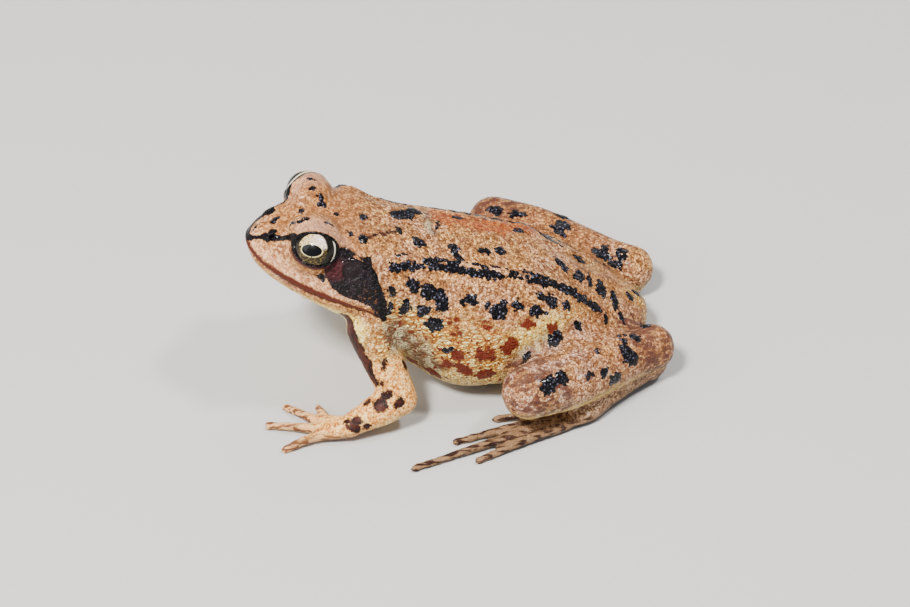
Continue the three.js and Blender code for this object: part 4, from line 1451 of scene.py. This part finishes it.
def three_tones(tone, low, mid, high):
    """Dark cracks, the ground and its highlights as one tone rises."""
    below = blend(tree, soft_step(tree, tone, 0.42, 0.54), low, mid)
    return blend(tree, soft_step(tree, tone, 0.57, 0.67), below, high)


def tinted(colour, name, strength, paint):
    """A paint over the colour, where the mark of this name is and as strong as given."""
    return blend(tree, times(tree, kept(tree, name), strength), colour, paint)


# %% Ground colours of back, head and legs
tone = calc(tree, "MULTIPLY_ADD", fine, 0.75, times(tree, back_grain["Tone"], 0.25))
tone = calc(tree, "MULTIPLY_ADD", middle, 0.12, tone)
tan = three_tones(tone, (0.10, 0.040, 0.012), (0.39, 0.175, 0.050), (0.86, 0.47, 0.18))
pink = three_tones(tone, (0.11, 0.043, 0.018), (0.39, 0.178, 0.074), (0.88, 0.52, 0.29))
umber = three_tones(tone, (0.09, 0.034, 0.012), (0.25, 0.092, 0.028), (0.54, 0.25, 0.09))
rosy = three_tones(tone, (0.13, 0.056, 0.032), (0.40, 0.225, 0.140), (0.82, 0.58, 0.43))
peach = three_tones(tone, (0.46, 0.15, 0.025), (0.90, 0.42, 0.105), (0.99, 0.66, 0.27))
smooth_tan = (0.27, 0.100, 0.028)
colour = blend(tree, soft_step(tree, wide, 0.42, 0.6), tan, pink)
colour = tinted(colour, "crown", 0.75, umber)
calm = calc(tree, "MULTIPLY_ADD", rough_skin, -0.5, 0.5)
colour = blend(tree, calm, colour, smooth_tan)
leg_patch = soft_step(tree, speckle(tree, place, 0.32, 1.0), 0.44, 0.58)
leg_share = times(tree, leg_skin, calc(tree, "MULTIPLY_ADD", leg_patch, 0.8, 0.15))
colour = blend(tree, leg_share, colour, rosy)
colour = blend(tree, arm_skin, colour, peach)

# %% Flank, belly and armpits
flank_tone = calc(tree, "MULTIPLY_ADD", fine, 0.5, times(tree, flank_grain["Height"], 0.32))
flank_tone = calc(tree, "MULTIPLY_ADD", middle, 0.25, flank_tone)
yellow = three_tones(flank_tone, (0.50, 0.19, 0.022), (0.99, 0.64, 0.14), (1.0, 0.92, 0.45))
cream = three_tones(tone, (0.52, 0.28, 0.04), (0.88, 0.62, 0.13), (0.96, 0.84, 0.38))
mottle = soft_step(tree, speckle(tree, place, 0.55), 0.45, 0.58)
mottle = blend(tree, mottle, (0.03, 0.03, 0.035), (0.42, 0.41, 0.26))
# painted shade: the cracks of the flank's stretched grain are darkened, partly the wrinkles' own
# dark lines and partly shade in their grooves
furrow_shade = times(tree, flank_grain["Crack"], 0.6)
colour = blend(tree, flank_skin, colour, blend(tree, furrow_shade, yellow, (0.20, 0.065, 0.014)))
colour = tinted(colour, "belly", 1.0, cream)
colour = tinted(colour, "grey", 0.85, mottle)

# %% Lips, lids and joints
pale_lip = three_tones(tone, (0.40, 0.17, 0.075), (0.72, 0.37, 0.19), (0.86, 0.53, 0.33))
pale_lid, knee_brown, vein_brown = (0.62, 0.35, 0.24), (0.24, 0.105, 0.055), (0.045, 0.017, 0.020)
colour = tinted(colour, "lip", 0.8, pale_lip)
colour = tinted(colour, "lids", 0.4, pale_lid)
colour = tinted(colour, "joint", 0.3, knee_brown)
vein = speckle(tree, stretched(tree, place, (1.3, 0.6, 1.3)), 0.62, 2.0)
vein = soft_step(tree, vein, 0.49, 0.55)
vein = times(tree, times(tree, soft_step(tree, kept(tree, "joint"), 0.1, 0.55), 0.85), vein)
colour = blend(tree, vein, colour, vein_brown)

# %% The red wash on the back, and what is drawn in fine lines and dots
red_wash = three_tones(tone, (0.20, 0.024, 0.004), (0.37, 0.080, 0.010), (0.64, 0.21, 0.04))
washed = times(tree, kept(tree, "wash"), soft_step(tree, speckle(tree, place, 0.9), 0.25, 0.5))
colour = blend(tree, washed, colour, red_wash)
line = speckle(tree, stretched(tree, place, (1.25, 0.85, 1.25)), 1.1, 3.0)
line = calc(tree, "ABSOLUTE", calc(tree, "SUBTRACT", line, 0.5))
line = opposite(tree, soft_step(tree, line, 0.0, 0.03))
line = times(tree, line, times(tree, rough_skin, 0.55))
colour = blend(tree, line, colour, (0.17, 0.05, 0.02))
# painted shade: the cracks between the back's granules are darkened, standing for the shade that
# would gather in them
crack_shade = times(tree, back_grain["Crack"], times(tree, rough_skin, 0.7))
colour = blend(tree, crack_shade, colour, (0.14, 0.045, 0.015))
freckle = soft_step(tree, speckle(tree, place, 2.2, 1.0), 0.64, 0.69)
colour = blend(tree, times(tree, freckle, 0.7), colour, (0.14, 0.035, 0.012))
dots = soft_step(tree, speckle(tree, place, 1.15, 0.5), 0.66, 0.69)
colour = blend(tree, times(tree, dots, flank_skin), colour, (0.13, 0.022, 0.009))

# %% Feet, fingers and toes
sole_brown = three_tones(tone, (0.06, 0.03, 0.016), (0.22, 0.125, 0.06), (0.42, 0.27, 0.15))
colour = tinted(colour, "foot", 0.6, sole_brown)
stripe = speckle(tree, stretched(tree, place, (1.6, 0.35, 1.6)), 0.9, 1.0)
stripe = soft_step(tree, stripe, 0.42, 0.56)
bars = blend(tree, arm_skin, (0.030, 0.012, 0.009), (0.15, 0.055, 0.02))
pale_digit = blend(tree, arm_skin, (0.25, 0.14, 0.07), (0.62, 0.34, 0.15))
colour = tinted(colour, "digit", 1.0, blend(tree, stripe, bars, pale_digit))

# %% Colours of the marks with edges
violet = calc(tree, "MULTIPLY_ADD", middle, 0.5, times(tree, wart_grain["Tone"], 0.5))
violet = soft_step(tree, violet, 0.45, 0.65)
mask_colour = blend(tree, violet, (0.003, 0.0013, 0.0016), (0.012, 0.006, 0.009))
ember = times(tree, soft_step(tree, speckle(tree, place, 1.5, 1.0), 0.6, 0.66), kept(tree, "ember"))
mask_colour = blend(tree, ember, mask_colour, (0.11, 0.034, 0.012))
# painted glints: bead tops are painted a pale bluish grey as the highlights of wet skin, in full on
# the black warts and at half strength on the mask
lit_bead = soft_step(tree, fleck_grain["Far"], 0.48, 0.14)
painted_glints = times(tree, lit_bead, soft_step(tree, fleck_grain["Tone"], 0.1, 0.6))
mask_colour = blend(tree, times(tree, painted_glints, 0.5), mask_colour, (0.045, 0.037, 0.055))
wart_black_and_glints = blend(tree, painted_glints, (0.0015, 0.001, 0.0025), (0.13, 0.125, 0.18))
brown_colour = soft_step(tree, middle, 0.4, 0.6)
brown_colour = blend(tree, brown_colour, (0.018, 0.006, 0.005), (0.055, 0.015, 0.009))
drum_colour = blend(tree, middle, (0.004, 0.0025, 0.003), (0.020, 0.013, 0.015))
maroon_colour = blend(tree, fine, (0.008, 0.0025, 0.003), (0.082, 0.018, 0.021))
pale_ridge, lip_line, rust_red = (0.80, 0.44, 0.22), (0.075, 0.016, 0.009), (0.11, 0.016, 0.006)
jet = (0.003, 0.002, 0.003)

# %% Lay the marks one over another
ragged = calc(tree, "ADD", times(tree, fine, 0.6), times(tree, middle, 0.4))
torn_wide = speckle(tree, place, 0.9)
lobes = calc(tree, "ADD", calc(tree, "MULTIPLY_ADD", fine, 0.3, -0.15), wart_grain["Far"])
# mark, colour, softness and raggedness of its edge in millimetres, and the noise that tears it
mark_list = [
    ("mouth", lip_line, 0.22, 0.8, ragged), ("rust", rust_red, 0.35, 3.4, torn_wide),
    ("brown", brown_colour, 0.25, 1.8, ragged), ("mask", mask_colour, 0.16, 0.8, ragged),
    ("black", wart_black_and_glints, 0.1, 1.15, lobes), ("edges", jet, 0.12, 0.7, ragged)]
masks = {}
for name, mark_colour, soft, torn, edge_noise in mark_list:
    if name == "black":
        colour = tinted(colour, "ridge", 0.6, pale_ridge)
        maroon_share = times(tree, kept(tree, "maroon"), soft_step(tree, middle, 0.15, 0.4))
        colour = blend(tree, maroon_share, colour, maroon_colour)
        colour = tinted(colour, "drum", 1.0, drum_colour)
    outputs = use(tree, ragged_mark, {
        "Below": colour, "Mark": opaque(mark_colour), "Edge": kept(tree, name),
        "Soft": soft, "Ragged": torn, "Noise": edge_noise})
    colour, masks[name] = outputs["Color"], outputs["Mask"]
tree.links.new(colour, skin_shader.inputs["Base Color"])
print("the skin's colour:", len(tree.nodes), "nodes")

# %% Relief and gloss of the skin
grain_height = times(tree, back_grain["Height"], times(tree, rough_skin, 0.10))
flank_height = times(tree, flank_grain["Height"], times(tree, flank_skin, 0.16))
smooth_drum = opposite(tree, kept(tree, "drum"))
warty = times(tree, times(tree, masks["mask"], smooth_drum), 0.25)
warty = calc(tree, "MULTIPLY_ADD", masks["black"], 0.6, warty)
wart_height = times(tree, wart_grain["Height"], warty)
dark = calc(tree, "MAXIMUM", calc(tree, "MAXIMUM", masks["black"], masks["edges"]), masks["mask"])
soft_amount = calc(tree, "MULTIPLY_ADD", rough_skin, 0.12, 0.04)
soft_height = times(tree, speckle(tree, place, 1.7, 1.0), soft_amount)
height = times(tree, soft_height, opposite(tree, dark))
for part in (wart_height, flank_height, grain_height):
    height = calc(tree, "ADD", height, part)
relief = put(tree, "ShaderNodeBump", {"Height": height, "Distance": millimetre, "Strength": 1.0})
tree.links.new(relief.outputs[0], skin_shader.inputs["Normal"])
coat = calc(tree, "MAXIMUM", masks["black"], times(tree, masks["mask"], 0.7))
coat = times(tree, coat, calc(tree, "MULTIPLY_ADD", masks["edges"], -0.7, 1.0))
coat = times(tree, coat, calc(tree, "MULTIPLY_ADD", kept(tree, "maroon"), -0.8, 1.0))
wet_marks, damp_skin = 0.27, 0.08
coat = calc(tree, "MULTIPLY_ADD", coat, wet_marks, damp_skin)
gloss = calc(tree, "MULTIPLY_ADD", middle, 0.2, 0.3)
tree.links.new(coat, skin_shader.inputs["Coat Weight"])
tree.links.new(gloss, skin_shader.inputs["Roughness"])
skin_shader.inputs["Specular IOR Level"].default_value = 0.1
skin_shader.inputs["Coat Roughness"].default_value = 0.1
skin_shader.inputs["Coat IOR"].default_value = 1.4

# %% [markdown]
# ## The eye's material
# A common frog's pupil is an oval that lies level with the body. A thin gold ring runs
# round it. The iris is pale gold above and dark bronze below, and at the back of the eye a
# pale crescent shows before the lid. Over it all lies a clear wet dome.

# %% Eye material
pupil_half_long, pupil_half_high = 1.95, 1.12
pupil_tilt = math.radians(6)
iris_edge = 3.5
eye_material = bpy.data.materials.new("frog_eye")
eye_material.use_nodes = True
tree = eye_material.node_tree
eye_shader = tree.nodes["Principled BSDF"]
gaze = put(tree, "ShaderNodeAttribute", {}, attribute_name="gaze").outputs["Vector"]
ahead, above, _ = put(tree, "ShaderNodeSeparateXYZ", {0: gaze}).outputs
turned = {"Vector": gaze, "Angle": pupil_tilt}
turned = put(tree, "ShaderNodeVectorRotate", turned, rotation_type="Z_AXIS").outputs[0]
oval = stretched(tree, turned, (1 / pupil_half_long, 1 / pupil_half_high, 0))
oval = put(tree, "ShaderNodeVectorMath", {0: oval}, operation="LENGTH").outputs["Value"]
from_middle = put(tree, "ShaderNodeVectorMath", {0: gaze}, operation="LENGTH").outputs["Value"]
fleck = speckle(tree, gaze, 2.6, 3.0)
blotch = speckle(tree, gaze, 0.9)
bronze = blend(tree, soft_step(tree, fleck, 0.45, 0.7), (0.014, 0.010, 0.004), (0.17, 0.11, 0.03))
gold = blend(tree, soft_step(tree, fleck, 0.38, 0.6), (0.30, 0.19, 0.06), (0.72, 0.54, 0.26))
silver = blend(tree, soft_step(tree, fleck, 0.34, 0.56), (0.38, 0.28, 0.24), (0.85, 0.66, 0.56))
gold = blend(tree, soft_step(tree, ahead, 1.4, -1.0), gold, silver)
raised = put(tree, "ShaderNodeSeparateXYZ", {0: turned}).outputs[1]
raised = calc(tree, "ADD", raised, calc(tree, "MULTIPLY_ADD", blotch, 1.2, -0.6))
upper = soft_step(tree, raised, 0.3, 0.8)
colour = blend(tree, upper, bronze, gold)
# the dark ring round the iris is drawn wider towards the back and the front; the extra dark at the
# front is partly painted shade under the lid
dark_ring = calc(tree, "MULTIPLY_ADD", soft_step(tree, ahead, -1.2, -3.4), 0.45, from_middle)
dark_ring = calc(tree, "MULTIPLY_ADD", soft_step(tree, ahead, 0.0, 3.0), 0.4, dark_ring)
dark_ring = soft_step(tree, dark_ring, iris_edge - 0.3, iris_edge + 0.05)
colour = blend(tree, dark_ring, colour, (0.007, 0.006, 0.004))
colour = blend(tree, kept(tree, "pale"), colour, (0.92, 0.86, 0.66))
gold_ring = soft_step(tree, speckle(tree, gaze, 1.3), 0.36, 0.42)
ring = times(tree, soft_step(tree, oval, 1.16, 1.1), gold_ring)
colour = blend(tree, ring, colour, (0.86, 0.72, 0.36))
colour = blend(tree, soft_step(tree, oval, 1.06, 1.0), colour, (0.002, 0.002, 0.003))
tree.links.new(colour, eye_shader.inputs["Base Color"])
eye_shader.inputs["Roughness"].default_value = 0.35
eye_shader.inputs["Specular IOR Level"].default_value = 0.08
eye_shader.inputs["Coat Weight"].default_value = 0.5
eye_shader.inputs["Coat Roughness"].default_value = 0.03
eye_shader.inputs["Coat IOR"].default_value = 1.34
print("materials:", skin_material.name, eye_material.name)

# %% [markdown]
# ## What stands for what
# The skin takes the place of every solid except the two eyes, and each eyeball takes the
# place of its own. Everything rides on the one body, because a still model has no joints.

# %% Ride, replace and finish
points = read_points(skin_mesh)
points[:, 2] = np.maximum(points[:, 2], 0)
write_points(skin_mesh, (points + shift) * millimetre)
skin_mesh.shade_smooth()
skin = bpy.data.objects.new("skin", skin_mesh)
bpy.context.collection.objects.link(skin)
skin_mesh.materials.append(skin_material)
for side_name, ball in eyeballs.items():
    ball.data.materials.append(eye_material)
    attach(ball, "root")
    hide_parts("eye_" + side_name)
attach(skin, "root")
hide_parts(*[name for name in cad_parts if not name.startswith("eye_")])

low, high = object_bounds()
sizes = {"cad": [list(cad_low), list(cad_high)], "visual": [list(low), list(high)]}
for name, corners in sizes.items():
    print(name, "box, mm:", [[round(1000 * value, 2) for value in corner] for corner in corners])
